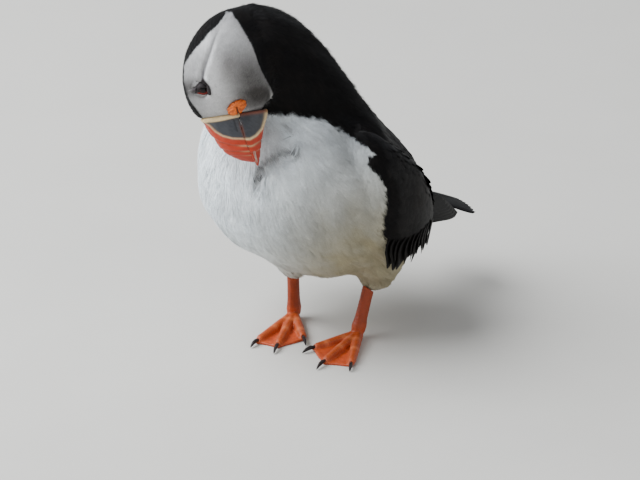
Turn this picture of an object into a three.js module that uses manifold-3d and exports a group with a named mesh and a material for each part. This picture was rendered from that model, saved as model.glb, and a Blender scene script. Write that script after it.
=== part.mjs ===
// A life-size Atlantic puffin in breeding dress, standing on both feet with its neck curved forward
// and its head bowed, so that the bill points down at the breast.
// Millimetres, +Z up. The bird faces -Y, its left side is +X, and its soles lie on z = 0.
import * as THREE from "three";
import { mergeVertices } from "three/addons/utils/BufferGeometryUtils.js";
import Module from "manifold-3d";

const wasm = await Module();
wasm.setup();

// ---------------------------------------------------------------- driving dimensions

const GAP = 0.3; // clearance between neighbouring pieces
const SLIVER = 0.02; // corners closer than this are one corner
const STAND_AT = [7, -6, 0]; // the bird's shift that centres its bounding box on the origin
const LEFT = new THREE.Vector3(1, 0, 0); // the bird's own left
const DOWN = new THREE.Vector3(0, 0, -1);

// The trunk, from the tail's root to the top of the breast. Each station has its centre,
// its half width, and its reach towards the back and towards the belly. Its sections are
// parallel, and face TRUNK_TOWARDS.
const TRUNK_TOWARDS = new THREE.Vector3(0, -0.68, 0.73);
const TRUNK = [
  { at: [1, 66, 48], wide: 11, back: 8, belly: 8 },
  { at: [-1, 38, 51], wide: 28, back: 29, belly: 32 },
  { at: [-4, 14, 60], wide: 39, back: 42, belly: 42 },
  { at: [-7, -2, 73], wide: 45, back: 45, belly: 44 },
  { at: [-9, -15, 88], wide: 47, back: 45.5, belly: 48 },
  { at: [-12, -28, 104], wide: 46.5, back: 44, belly: 50 },
  { at: [-14, -40, 134], wide: 33, back: 30, belly: 32 },
];
// The neck, from inside the shoulders to inside the head.
const NECK = [
  { at: [-7, 3, 98], wide: 40, back: 32, belly: 24 },
  { at: [-10, -13, 122], wide: 29, back: 25, belly: 24 },
  { at: [-13, -29, 146], wide: 23.5, back: 23.6, belly: 23 },
  { at: [-17, -44, 158], wide: 20, back: 22, belly: 19 },
  { at: [-19, -55, 160], wide: 15, back: 17, belly: 14 },
];

// The head has its own frame: origin midway between the eyes, X to the bill, Y to the bird's
// left, Z to the crown. These place that frame in the part's.
const EYES_AT = new THREE.Vector3(-23.3, -67.2, 141.7);
const BILL_TOWARDS = new THREE.Vector3(0.366, -0.219, -0.904);
const CROWN_TOWARDS = new THREE.Vector3(-0.722, -0.68, -0.127);

const BILL_BASE = 14; // forward of the eyes
const MOUTH_OPENING = 1.2; // each way from the line between the mandibles, at the tip
// The bill: at is the line between the mandibles, from inside the face to the tip, back the
// rise of its ridge above that line, and belly the drop to its keel.
const BILL = [
  { at: [9, 0, -15.3], wide: 8.8, back: 19.4, belly: 14.2 },
  { at: [15, 0, -15.4], wide: 8.4, back: 18, belly: 14 },
  { at: [20.5, 0, -15.8], wide: 7.3, back: 15, belly: 11.8 },
  { at: [26, 0, -16.6], wide: 6, back: 12.8, belly: 9.2 },
  { at: [31, 0, -17.7], wide: 4.7, back: 10.3, belly: 6.6 },
  { at: [36, 0, -19.2], wide: 3.3, back: 6.8, belly: 3.8 },
  { at: [40.5, 0, -21], wide: 1.8, back: 2.4, belly: 1 },
];

// The rosette of bare skin at the corner of the mouth.
const GAPE_REACH = [3.3, 3, 5];
const GAPE_TILT = 0.5;
const GAPE_AT = [11, 10.5, -15];

const EYE_RADIUS = 4.3;
const EYE_SPREAD = 12.4; // from the middle of the head to each eye's centre
const BROW = { at: [-0.3, 14.3, 4.9], radius: 2.9, height: 4.6 };
const LID = { at: [-0.3, 17.4, -4], radius: 0.9, length: 7, turn: 0.22, tilt: 0.08 };

const HEAD = [
  { at: [-35, 0, -23.5], wide: 14, back: 7.5, belly: 12.5 },
  { at: [-25, 0, -15.3], wide: 21, back: 13.8, belly: 18.7 },
  { at: [-14, 0, -12], wide: 22.8, back: 18.9, belly: 20.5 },
  { at: [-3, 0, -11.5], wide: 20.5, back: 21, belly: 21.3 },
  { at: [6, 0, -12], wide: 15.5, back: 19.5, belly: 20.5 },
  { at: [14, 0, -13], wide: 11, back: 17.5, belly: 17.5 },
  { at: [23, 0, -14], wide: 10, back: 16, belly: 15 },
];

// Folded wings: the covert-feathered part on the flank, and the bundle of long flight feathers
// that comes out from under it. These are the left wing's, from the rear forwards.
const WING = [
  { at: [13, 55, 52], wide: 5, back: 8, belly: 7 },
  { at: [24.6, 34, 54], wide: 9, back: 20, belly: 15 },
  { at: [32, 13, 63], wide: 11, back: 25, belly: 24 },
  { at: [34.5, -4, 82], wide: 11, back: 25, belly: 13 },
  { at: [33.5, -12, 103], wide: 10, back: 17, belly: 7 },
  { at: [29, -14, 118], wide: 5, back: 7, belly: 5 },
];
const FLIGHT = [
  { at: [16, 76, 43], wide: 1.6, back: 3.5, belly: 3.5 },
  { at: [19, 62, 48], wide: 2.4, back: 7, belly: 7 },
  { at: [23, 46, 52], wide: 2.8, back: 10, belly: 10 },
  { at: [26, 28, 56], wide: 3, back: 10, belly: 12 },
];
const WING_TURN = { left: 0, right: -14 }; // shift of each wing's middle line to the bird's left

const TAIL = [
  { at: [1, 94, 35], wide: 17, back: 1.3, belly: 1.2 },
  { at: [1, 78, 43.5], wide: 18.5, back: 2.6, belly: 2.2 },
  { at: [1, 62, 52], wide: 17, back: 4.5, belly: 4 },
  { at: [1, 42, 60], wide: 13, back: 6, belly: 6 },
];

// Legs. Each toe is turned about Z from straight ahead, in degrees, positive towards the
// bird's left.
const LEGS = {
  right: {
    ankle: [-21.2, -2.3, 5],
    heel: [-20.5, -4, 32],
    turns: { inner: 50, middle: 27, outer: 9 },
  },
  left: {
    ankle: [16.7, 0.5, 5],
    heel: [17.5, 10, 32],
    turns: { inner: -15, middle: 12, outer: 34 },
  },
};
const TARSUS = { wide: 2.5, deep: 3.3 }; // half sizes of the shank
const TOES = {
  inner: { length: 27, claw: 6 },
  middle: { length: 36, claw: 7 },
  outer: { length: 35, claw: 5.5 },
};
const WEB_THICKNESS = 1;
const WEB_SHORT = 1; // how far the web ends before each toe does
const WEB_WAIST = 0.465; // share of two toes' lengths that its edge between them curves in to

// ---------------------------------------------------------------- finishes

const finish = (colour, roughness) =>
  new THREE.MeshStandardMaterial({ color: colour, roughness, metalness: 0 });
const BLACK_PLUMAGE = finish("#141315", 0.8);
const WHITE_PLUMAGE = finish("#dfe2e2", 0.9);
const FACE_PLUMAGE = finish("#b9bab8", 0.85);
const BILL_HORN = finish("#d9502c", 0.4);
const GAPE_FLESH = finish("#ee8a1d", 0.55);
const EYE_GLOSS = finish("#1d1512", 0.1);
const EYE_HORN = finish("#4b5058", 0.6);
const FOOT_SKIN = finish("#d2582a", 0.5);
const CLAW_HORN = finish("#241e1e", 0.35);

// ---------------------------------------------------------------- solids

// A closed three.js geometry as a solid that can be cut and joined, its faces turned outwards.
function solid(geometry) {
  const bare = geometry.clone();
  bare.deleteAttribute("normal");
  bare.deleteAttribute("uv");
  const merged = mergeVertices(bare, 1e-3);
  const vertProperties = new Float32Array(merged.attributes.position.array);
  const triVerts = new Uint32Array(merged.index.array);
  const made = new wasm.Manifold(new wasm.Mesh({ numProp: 3, vertProperties, triVerts }));
  return made.volume() > 0
    ? made
    : new wasm.Manifold(
        new wasm.Mesh({ numProp: 3, vertProperties, triVerts: triVerts.reverse() }),
      );
}

// The largest body of a solid, so that a cut leaves no crumbs.
function largest(made) {
  return made.decompose().reduce((a, b) => (b.volume() > a.volume() ? b : a));
}

// A solid as a named mesh, with the slivers that a cut leaves closed up.
function mesh(name, made, material) {
  const { numProp, vertProperties, triVerts } = largest(made).getMesh();
  const points = new Float32Array((vertProperties.length / numProp) * 3);
  for (let i = 0; i < points.length / 3; i++) {
    points.set(vertProperties.subarray(i * numProp, i * numProp + 3), i * 3);
  }
  const cut = new THREE.BufferGeometry()
    .setAttribute("position", new THREE.BufferAttribute(points, 3))
    .setIndex(new THREE.BufferAttribute(triVerts, 1));
  const geometry = mergeVertices(cut, SLIVER);
  const old = Array.from(geometry.index.array);
  const kept = [];
  for (let i = 0; i < old.length; i += 3) {
    const [a, b, c] = old.slice(i, i + 3);
    if (a !== b && b !== c && c !== a) {
      kept.push(a, b, c);
    }
  }
  geometry.setIndex(kept);
  geometry.computeVertexNormals();
  const named = new THREE.Mesh(geometry, material);
  named.name = name;
  return named;
}

// A rounded form along a smooth line through stations that run forwards or upwards. blunt is
// how square its two ends are (2 is an ellipsoid's), grow swells it all round, to cut a
// neighbour clear of it, and facing turns every section the same way.
function loft(stations, { around, along, blunt = 4, grow = 0, side = LEFT, facing } = {}) {
  const line = new THREE.CatmullRomCurve3(stations.map((s) => new THREE.Vector3(...s.at)));
  const reach = new THREE.CatmullRomCurve3(
    stations.map((s) => new THREE.Vector3(s.wide, s.back, s.belly)),
  );
  const geometry = new THREE.SphereGeometry(1, around, along);
  const points = geometry.attributes.position;
  for (let i = 0; i < points.count; i++) {
    const s = THREE.MathUtils.clamp(points.getY(i), -1, 1);
    const t = (1 - s) / 2;
    const turn = Math.atan2(points.getZ(i), points.getX(i));
    const roundness = Math.sqrt(Math.max(0, 1 - Math.abs(s) ** blunt));
    const tangent = facing ?? line.getTangent(t);
    const back = new THREE.Vector3().crossVectors(tangent, side).normalize();
    const across = new THREE.Vector3().crossVectors(tangent, back).normalize();
    const size = reach.getPoint(t);
    const up = Math.sin(turn) > 0 ? size.y : size.z;
    const at = line
      .getPoint(t)
      .addScaledVector(across, Math.cos(turn) * (size.x + grow) * roundness)
      .addScaledVector(back, Math.sin(turn) * (up + grow) * roundness);
    points.setXYZ(i, at.x, at.y, at.z);
  }
  return solid(geometry);
}

// ---------------------------------------------------------------- head frame

const crown = CROWN_TOWARDS.clone().normalize();
const forward = BILL_TOWARDS.clone()
  .addScaledVector(crown, -BILL_TOWARDS.dot(crown))
  .normalize();
const headFrame = new THREE.Matrix4()
  .makeBasis(forward, new THREE.Vector3().crossVectors(crown, forward), crown)
  .setPosition(EYES_AT);
const inPart = (made) => made.transform(headFrame.elements);

// ---------------------------------------------------------------- head, bill and eyes

const SIDES = { left: 1, right: -1 };
const ACROSS_HEAD = new THREE.Vector3(0, 1, 0);
const headLoft = (grow) =>
  loft(HEAD, { around: 22, along: 16, blunt: 3.2, grow, side: ACROSS_HEAD });
const wholeBill = (grow) =>
  loft(BILL, { around: 16, along: 12, blunt: 7, grow, side: ACROSS_HEAD });

// The wedge that is left open between the mandibles, from the gape to the tip.
function mouthCut() {
  const line = new THREE.CatmullRomCurve3(BILL.map((s) => new THREE.Vector3(...s.at)));
  const steps = [0, 0.2, 0.4, 0.6, 0.8, 1];
  const edge = (t, side) => {
    const { x, z } = line.getPoint(t);
    return new THREE.Vector2(x, z + side * (GAP / 2 + MOUTH_OPENING * t ** 2));
  };
  const past = line.getPoint(1).x + 5;
  const shape = new THREE.Shape([
    ...steps.map((t) => edge(t, 1)),
    new THREE.Vector2(past, edge(1, 1).y),
    new THREE.Vector2(past, edge(1, -1).y),
    ...steps.toReversed().map((t) => edge(t, -1)),
  ]);
  const width = 40;
  const geometry = new THREE.ExtrudeGeometry(shape, { depth: width, bevelEnabled: false });
  return solid(geometry.rotateX(Math.PI / 2).translate(0, width / 2, 0));
}

function makeHead() {
  const group = new THREE.Group();
  headFrame.decompose(group.position, group.quaternion, group.scale);
  const ahead = [1, 0, 0];
  const bill = wholeBill(0).trimByPlane(ahead, BILL_BASE + GAP);
  const parted = bill.subtract(mouthCut()).decompose();
  const height = (made) => (made.boundingBox().min[2] + made.boundingBox().max[2]) / 2;
  const [upper, lower] = parted
    .sort((a, b) => b.volume() - a.volume())
    .slice(0, 2)
    .sort((a, b) => height(b) - height(a));
  group.add(mesh("bill_upper", upper, BILL_HORN));
  group.add(mesh("bill_lower", lower, BILL_HORN));

  let head = headLoft(0).trimByPlane([-1, 0, 0], -BILL_BASE);
  for (const [name, side] of Object.entries(SIDES)) {
    const eye = (grow) =>
      solid(new THREE.SphereGeometry(EYE_RADIUS + grow, 14, 10).translate(0, side * EYE_SPREAD, 0));
    head = head.subtract(eye(GAP));
    group.add(mesh("eye_" + name, eye(0), EYE_GLOSS));
    // the horny plates above and below the eye, seated in the face
    const clear = headLoft(GAP).add(eye(GAP));
    const brow = new THREE.ConeGeometry(BROW.radius, BROW.height, 8)
      .scale(1, 1, 0.55)
      .rotateX(Math.PI / 2)
      .translate(BROW.at[0], side * BROW.at[1], BROW.at[2]);
    group.add(mesh("eye_brow_" + name, solid(brow).subtract(clear), EYE_HORN));
    const lid = new THREE.CapsuleGeometry(LID.radius, LID.length, 3, 8)
      .rotateZ(Math.PI / 2)
      .rotateZ(-side * LID.turn)
      .rotateY(LID.tilt)
      .translate(LID.at[0], side * LID.at[1], LID.at[2]);
    group.add(mesh("eye_lid_" + name, solid(lid).subtract(clear), EYE_HORN));
    const gape = (grow) =>
      solid(
        new THREE.SphereGeometry(1, 12, 8)
          .scale(...GAPE_REACH.map((r) => r + grow))
          .rotateY(GAPE_TILT)
          .translate(GAPE_AT[0], side * GAPE_AT[1], GAPE_AT[2]),
      );
    head = head.subtract(gape(GAP));
    const flesh = gape(0).subtract(wholeBill(GAP).trimByPlane(ahead, BILL_BASE));
    group.add(mesh("gape_" + name, flesh, GAPE_FLESH));
  }
  group.add(mesh("head", head, FACE_PLUMAGE));
  return group;
}

// ---------------------------------------------------------------- trunk, neck, tail and wings

const trunkLoft = (grow) =>
  loft(TRUNK, { around: 24, along: 18, grow, facing: TRUNK_TOWARDS.clone().normalize() });
const neckLoft = (grow) => loft(NECK, { around: 20, along: 12, blunt: 4, grow });

// The left wing's stations turned into those of the named wing, and the wing's own solid.
const onSide = (stations, name) =>
  stations.map((s) => ({
    ...s,
    at: [SIDES[name] * s.at[0] + WING_TURN[name], s.at[1], s.at[2]],
  }));
const wingLoft = (name, grow) => loft(onSide(WING, name), { around: 14, along: 12, grow });
const tailLoft = (grow) => loft(TAIL, { around: 12, along: 8, blunt: 8, grow });

function makeBody() {
  const pieces = [];
  const headClear = inPart(headLoft(GAP).add(wholeBill(GAP)));
  const trunkClear = trunkLoft(GAP);
  pieces.push(mesh("trunk", trunkLoft(0).subtract(headClear), WHITE_PLUMAGE));
  const neck = neckLoft(0).subtract(trunkClear).subtract(headClear);
  pieces.push(mesh("neck", neck, BLACK_PLUMAGE));
  pieces.push(mesh("tail", tailLoft(0).subtract(trunkClear), BLACK_PLUMAGE));
  for (const name of Object.keys(SIDES)) {
    const cover = wingLoft(name, 0)
      .subtract(trunkClear)
      .subtract(neckLoft(GAP))
      .subtract(tailLoft(GAP));
    pieces.push(mesh("wing_" + name, cover, BLACK_PLUMAGE));
    const feathers = loft(onSide(FLIGHT, name), { around: 10, along: 8 })
      .subtract(trunkClear)
      .subtract(wingLoft(name, GAP))
      .subtract(tailLoft(GAP));
    pieces.push(mesh("flight_" + name, feathers, BLACK_PLUMAGE));
  }
  return pieces;
}

// ---------------------------------------------------------------- legs and feet

function footDirection(turn) {
  const angle = THREE.MathUtils.degToRad(turn);
  return new THREE.Vector3(Math.sin(angle), -Math.cos(angle), 0);
}

const footLine = (leg, turn, out, up) =>
  new THREE.Vector3(leg.ankle[0], leg.ankle[1], 0)
    .addScaledVector(footDirection(turn), out)
    .setZ(up)
    .toArray();

const toesOf = (leg) =>
  Object.entries(TOES).map(([part, sizes]) => ({ part, turn: leg.turns[part], ...sizes }));

function toe(leg, { turn, length }) {
  const half = [2.9, 2.5, 2.1, 2.3, 1.8, 2.0, 1.6];
  const stations = half.map((r, i) => ({
    at: footLine(leg, turn, -2.5 + ((length + 3) * i) / (half.length - 1), r * 0.8 + 0.2),
    wide: r,
    back: r,
    belly: r,
  }));
  return loft(stations, { around: 8, along: 9, blunt: 6, side: sideOf(turn) });
}

const sideOf = (turn) => new THREE.Vector3().crossVectors(footDirection(turn), DOWN).normalize();

function claw(leg, { turn, length, claw: reach }, grow = 0) {
  const stations = [
    { at: footLine(leg, turn, length - 3, 1.9), wide: 1.1, back: 1.1, belly: 1.1 },
    { at: footLine(leg, turn, length + reach * 0.3, 2.2), wide: 1.1, back: 1.3, belly: 1.2 },
    { at: footLine(leg, turn, length + reach * 0.7, 1.5), wide: 0.8, back: 0.9, belly: 0.9 },
    { at: footLine(leg, turn, length + reach, 0.45), wide: 0.45, back: 0.45, belly: 0.45 },
  ];
  return loft(stations, { around: 6, along: 6, blunt: 5, grow, side: sideOf(turn) });
}

// The web that joins the three toes, its free edges curved in between them.
function web(leg) {
  const point = (turn, out) => {
    const [x, y] = footLine(leg, turn, out, 0);
    return [x, y];
  };
  const [inner, middle, outer] = toesOf(leg);
  const shape = new THREE.Shape();
  shape.moveTo(...point(middle.turn, 0.5));
  shape.lineTo(...point(inner.turn, inner.length - WEB_SHORT));
  for (const [a, b] of [[inner, middle], [middle, outer]]) {
    const waist = point((a.turn + b.turn) / 2, (a.length + b.length) * WEB_WAIST);
    shape.quadraticCurveTo(...waist, ...point(b.turn, b.length - WEB_SHORT));
  }
  shape.closePath();
  const geometry = new THREE.ExtrudeGeometry(shape, {
    depth: 2 * WEB_THICKNESS,
    bevelEnabled: false,
    curveSegments: 6,
  });
  return solid(geometry.translate(0, 0, -WEB_THICKNESS)); // the floor's plane trims it
}

function shank(leg, grow = 0) {
  const [a, h] = [new THREE.Vector3(...leg.ankle), new THREE.Vector3(...leg.heel)];
  const sizes = [
    [-0.14, 1.1], [0, 1.25], [0.18, 1.0], [0.5, 0.95], [0.8, 1.05], [1, 1.35], [1.15, 1.3],
  ];
  const stations = sizes.map(([t, share]) => ({
    at: new THREE.Vector3().lerpVectors(a, h, t).toArray(),
    wide: TARSUS.wide * share,
    back: TARSUS.deep * share,
    belly: TARSUS.deep * share,
  }));
  return loft(stations, { around: 10, along: 10, blunt: 6, grow });
}

// The feathered thigh, from inside the belly to where the bare shank comes out of it.
function thigh(leg, grow = 0) {
  const h = new THREE.Vector3(...leg.heel);
  const a = new THREE.Vector3(...leg.ankle);
  const out = new THREE.Vector3().lerpVectors(a, h, 0.66);
  const stations = [
    { at: out.toArray(), wide: 4.4, back: 5, belly: 5 },
    { at: [h.x, h.y + 1, h.z - 3], wide: 11, back: 10, belly: 11 },
    { at: [h.x, h.y + 2, h.z + 6], wide: 16, back: 15, belly: 15 },
    { at: [h.x, h.y + 4, h.z + 20], wide: 17, back: 17, belly: 18 },
  ];
  return loft(stations, { around: 12, along: 10, blunt: 5, grow });
}

function makeLeg(name, leg) {
  const pieces = [];
  const toes = toesOf(leg);
  let foot = toes.map((t) => toe(leg, t)).reduce((a, b) => a.add(b));
  foot = foot.add(web(leg));
  const floor = [0, 0, 1];
  foot = foot.trimByPlane(floor, 0);
  for (const t of toes) {
    foot = foot.subtract(claw(leg, t, GAP));
    pieces.push(mesh(`claw_${t.part}_${name}`, claw(leg, t).trimByPlane(floor, 0), CLAW_HORN));
  }
  foot = foot.subtract(shank(leg, GAP));
  pieces.push(mesh("foot_" + name, foot, FOOT_SKIN));
  const tarsus = shank(leg).subtract(thigh(leg, GAP)).subtract(trunkLoft(GAP));
  pieces.push(mesh("shank_" + name, tarsus.trimByPlane(floor, 0.1), FOOT_SKIN));
  const feathered = thigh(leg).subtract(trunkLoft(GAP)).subtract(wingLoft(name, GAP));
  pieces.push(mesh("thigh_" + name, feathered, WHITE_PLUMAGE));
  return pieces;
}

// ---------------------------------------------------------------- the whole bird

const bird = new THREE.Group();
bird.add(makeHead(), ...makeBody());
for (const [name, leg] of Object.entries(LEGS)) {
  bird.add(...makeLeg(name, leg));
}
bird.position.set(...STAND_AT);
const puffin = new THREE.Group();
puffin.add(bird);

export default puffin;
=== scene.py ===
"""Dresses the solids of a life-size Atlantic puffin: skin, plumage, bill, eyes, feet and stage."""

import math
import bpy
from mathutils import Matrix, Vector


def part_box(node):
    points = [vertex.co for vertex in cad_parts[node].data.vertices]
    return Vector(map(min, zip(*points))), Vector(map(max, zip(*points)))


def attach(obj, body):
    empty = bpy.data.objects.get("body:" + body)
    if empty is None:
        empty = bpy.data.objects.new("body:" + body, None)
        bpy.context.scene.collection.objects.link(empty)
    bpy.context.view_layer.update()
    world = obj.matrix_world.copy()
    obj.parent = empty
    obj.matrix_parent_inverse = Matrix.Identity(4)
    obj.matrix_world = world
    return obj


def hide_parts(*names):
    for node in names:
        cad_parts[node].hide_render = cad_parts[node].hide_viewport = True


bl_info = {
    "name": "Preening Puffin",
    "version": (1, 0, 0),
    "blender": (4, 5, 0),
    "location": "View3D > Sidebar > Puffin",
    "description": "Skin, plumage, bill, eyes and feet over the solids of a standing puffin",
    "category": "Add Mesh",
}

from functools import partial

import bmesh
import bpy
import numpy as np
from mathutils import Vector
from mathutils.bvhtree import BVHTree
from mathutils.kdtree import KDTree

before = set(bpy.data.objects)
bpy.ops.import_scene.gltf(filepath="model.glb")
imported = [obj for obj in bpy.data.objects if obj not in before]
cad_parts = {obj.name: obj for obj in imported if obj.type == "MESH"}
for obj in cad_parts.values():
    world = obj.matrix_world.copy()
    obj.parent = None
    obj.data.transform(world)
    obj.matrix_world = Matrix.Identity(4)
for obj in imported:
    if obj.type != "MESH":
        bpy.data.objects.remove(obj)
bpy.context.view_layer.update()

MM = 0.001  # places are worked out in millimetres and stored in metres
SEED = 17

# ------------------------------------------------------------------ colours (sRGB)

SOOT = "#0c0b0c"  # crown, collar and back
SOOT_BROWN = "#151211"  # worn feather edges
SNOW = "#f0f7fa"  # breast
# Buff is partly the feathers' own tint and partly painted shade on the rear flank and thighs.
BUFF = "#a79e82"  # rear flank and thighs
LOOSE_GREY = "#b9bfc2"
WISP_BEIGE = "#b09a8c"
# Also used as painted shade on the breast's side away from the key lamp.
DOWN_GREY_AND_SHADE = "#9a9ea2"  # down that shows where the breast is ruffled
CHEEK = "#e7e6e5"
CHEEK_WARM = "#a49d9a"
# Dark grey of the chin, also used as painted shade on the face, the breast and the bill.
CHIN_GREY_AND_SHADE = "#3f3b38"
EYE_SKIN = "#1a1113"
LID_GREY = "#2c2325"
PLATE_PALE = "#6d6b69"
CREASE = "#5c5a60"
PLATE_BLUE = "#37393e"
BILL_RED = "#b02e0a"
BILL_TIP_RED = "#a2270a"
BILL_BROWN = "#7c3a1c"
CREAM = "#dcc08e"
ROSETTE = "#d86400"
# Deeper orange of the rosette, also used as painted shade in its folds.
ROSETTE_DEEP_AND_SHADE = "#a84200"
RIM_RED = "#7a1e10"
IRIS = "#200b08"
PUPIL = "#0c0a0b"
SHANK_ORANGE = "#993707"
TOE_ORANGE = "#b24a14"
WEB_RED = "#b84618"
JOINT_RUST = "#8f3515"  # between the scutes of the toes and shanks
KNUCKLE_PEACH = "#e98a55"
# Brown of the soles, with painted shade where they face the floor.
SOLE_BROWN_AND_SHADE = "#6f2c1a"
FLECK_CREAM = "#e9c9a8"  # specks of worn skin on the webs
CLAW_BLACK = "#2b2525"
FLOOR_GREY = "#cfccc5"
FLOOR_MOTTLE = "#c8c5be"
SKY_PALE = "#e6ebf2"
KEY_COOL = "#f6faff"
FILL_WARM = "#fff7ee"


def linear(text):
    """A hex sRGB colour as linear red, green and blue."""
    parts = [int(text[i : i + 2], 16) / 255 for i in (1, 3, 5)]
    return [c / 12.92 if c <= 0.04045 else ((c + 0.055) / 1.055) ** 2.4 for c in parts]


def tone(colour):
    """A colour, given in hex or already linear, as an array."""
    return np.array(linear(colour) if isinstance(colour, str) else colour)


# ------------------------------------------------------------------ small sums


def unit(v):
    v = np.asarray(v, float)
    return v / np.maximum(np.linalg.norm(v, axis=-1, keepdims=True), 1e-9)


def ramp(x, a, b):
    """0 before a, 1 after b, and smooth between them; a may be the greater."""
    t = np.clip((np.asarray(x, float) - a) / (b - a), 0, 1)
    return t * t * (3 - 2 * t)


def blend_in(base, colour, amount):
    """base, a row of colours, moved towards colour by amount."""
    return base + (colour - base) * np.asarray(amount)[:, None]


def layers(count, base, *coats):
    """count rows of the colour base, with each colour and amount of coats laid over in turn."""
    colour = np.tile(tone(base), (count, 1))
    for over, amount in coats:
        colour = blend_in(colour, tone(over), amount)
    return colour


def ripple(points, size, seed):
    """A smooth random field between about -1 and 1, with swells about size across."""
    waves = 9
    rng = np.random.default_rng(seed)
    turns = unit(rng.normal(size=(waves, 3))) * (2 * math.pi / size)
    turns *= rng.uniform(0.6, 1.4, (waves, 1))
    return np.sin(points @ turns.T + rng.uniform(0, 6.3, waves)).sum(1) / math.sqrt(waves)


def share_along(v, way):
    """The part of each v that runs along its way."""
    return way * (v * way).sum(1, keepdims=True)


def bell(x, reach):
    """1 where x is 0, fading to 0 past reach."""
    return np.exp(-((x / reach) ** 2))


def spot(p, centre, reach):
    """1 at the centre and fading to 0 past its reach."""
    return np.exp(-(((p - np.array(centre)) / np.array(reach)) ** 2).sum(1))


def from_line(p, line):
    """Distance of flat points from a line of points."""
    best = np.full(len(p), 1e9)
    for a, b in zip(line[:-1], line[1:]):
        step = b - a
        t = np.clip(((p - a) @ step) / (step @ step), 0, 1)
        best = np.minimum(best, np.linalg.norm(p - a - t[:, None] * step, axis=1))
    return best


def inside(p, loop):
    """How far flat points lie inside a closed outline, negative outside it."""
    into = np.zeros(len(p), bool)
    for (x0, y0), (x1, y1) in zip(loop, np.roll(loop, -1, 0)):
        spans = (y0 > p[:, 1]) != (y1 > p[:, 1])
        rise = (y1 - y0) if y1 != y0 else 1e-9
        into ^= spans & (p[:, 0] < (x1 - x0) * (p[:, 1] - y0) / rise + x0)
    away = from_line(p, np.vstack([loop, loop[:1]]))
    return np.where(into, away, -away)


# ------------------------------------------------------------------ places on the bird


def middle(node):
    low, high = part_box(node)
    return (np.array(low) + np.array(high)) / 2 / MM


STAND_AT = np.array([7.0, -6.0, 0.0])  # the bird's own origin in the part's frame
BETWEEN_EYES = (middle("eye_left") + middle("eye_right")) / 2
EYE_RADIUS = (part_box("eye_left")[1][0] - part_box("eye_left")[0][0]) / 2 / MM
SIDES = (("left", 1), ("right", -1))
# The head's own directions: to its left, to its crown, and along the bill.
HEAD_LEFT = unit(middle("eye_left") - middle("eye_right"))
HEAD_UP = np.array([-0.722, -0.680, -0.127])
HEAD_UP = unit(HEAD_UP - HEAD_LEFT * (HEAD_UP @ HEAD_LEFT))
HEAD_AHEAD = np.cross(HEAD_LEFT, HEAD_UP)
BILL_BASE = 14.0  # ahead of the eyes
EYE_BACK, EYE_SUNK = 0.6, 1.0  # mm that each eye lies back of its solid, and within it


def in_head(p):
    """Points in the head's frame: ahead, to its left, and towards its crown."""
    q = np.asarray(p, float) - BETWEEN_EYES
    return np.stack([q @ HEAD_AHEAD, q @ HEAD_LEFT, q @ HEAD_UP], -1)


def eye_centre(side_name):
    out = HEAD_LEFT if side_name == "left" else -HEAD_LEFT
    return middle("eye_" + side_name) - HEAD_AHEAD * EYE_BACK - out * EYE_SUNK


def from_head(q):
    q = np.asarray(q, float)
    return BETWEEN_EYES + q @ np.array([HEAD_AHEAD, HEAD_LEFT, HEAD_UP])


# The lie of the plumage runs along this line, from the bill over the nape to the tail.
LIE = np.vstack(
    [
        from_head([[16, 0, -13], [4, 0, -11], [-10, 0, -11], [-23, 0, -13]]),
        np.array(
            [[-15, -34, 151], [-11, -19, 132], [-8, -4, 108], [-6, 6, 84],
             [-4, 24, 65], [-1, 46, 54], [1, 66, 47], [1, 92, 36]]
        ) + STAND_AT,
    ]
)
HEAD_LIE = 4  # how many of the line's first steps steer only the head's plumage
BATCH = 20000  # points worked out at once, to spare memory


def along_lie(p, head):
    """For points of the surface: the direction of the lie, the place along it, and the
    turn about it. head is 1 on the head and 0 off it."""
    p = np.asarray(p, float)
    steer = np.ones((len(p), len(LIE) - 1))
    steer[:, :HEAD_LIE] = 0.004 + np.asarray(head)[:, None]
    steer[:, HEAD_LIE + 1 :] *= (1.002 - np.asarray(head))[:, None]
    a, b = LIE[:-1], LIE[1:]
    step = b - a
    length = np.linalg.norm(step, axis=1)
    start = np.concatenate([[0], np.cumsum(length)[:-1]])
    way, place, out = np.empty_like(p), np.empty(len(p)), np.empty_like(p)
    for i in range(0, len(p), BATCH):
        these = slice(i, i + BATCH)
        q = p[these]
        gap = q[:, None] - a
        t = np.clip((gap * step).sum(2) / length**2, 0, 1)
        foot = a + t[..., None] * step
        away = np.linalg.norm(q[:, None] - foot, axis=2)
        weight = steer[these] / np.maximum(away, 2) ** 5
        weight /= weight.sum(1, keepdims=True)
        way[these] = weight @ (step / length[:, None])
        place[these] = (weight * (start + t * length)).sum(1)
        out[these] = q - (weight[..., None] * foot).sum(1)
    way = unit(way)
    side = unit(np.cross(np.tile([0.0, -0.6, -0.8], (len(p), 1)), way))
    lift = np.cross(way, side)
    turn = np.arctan2((out * side).sum(1), (out * lift).sum(1))
    return way, place / (start[-1] + length[-1]), turn


def coat_map(p, head):
    """The place of surface points on an unwrap of the skin, opened along the lie."""
    _, place, turn = along_lie(p, head)
    return np.stack([0.5 + 0.94 * turn / (2 * math.pi), 0.02 + 0.96 * place], 1)


# ------------------------------------------------------------------ markings

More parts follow.
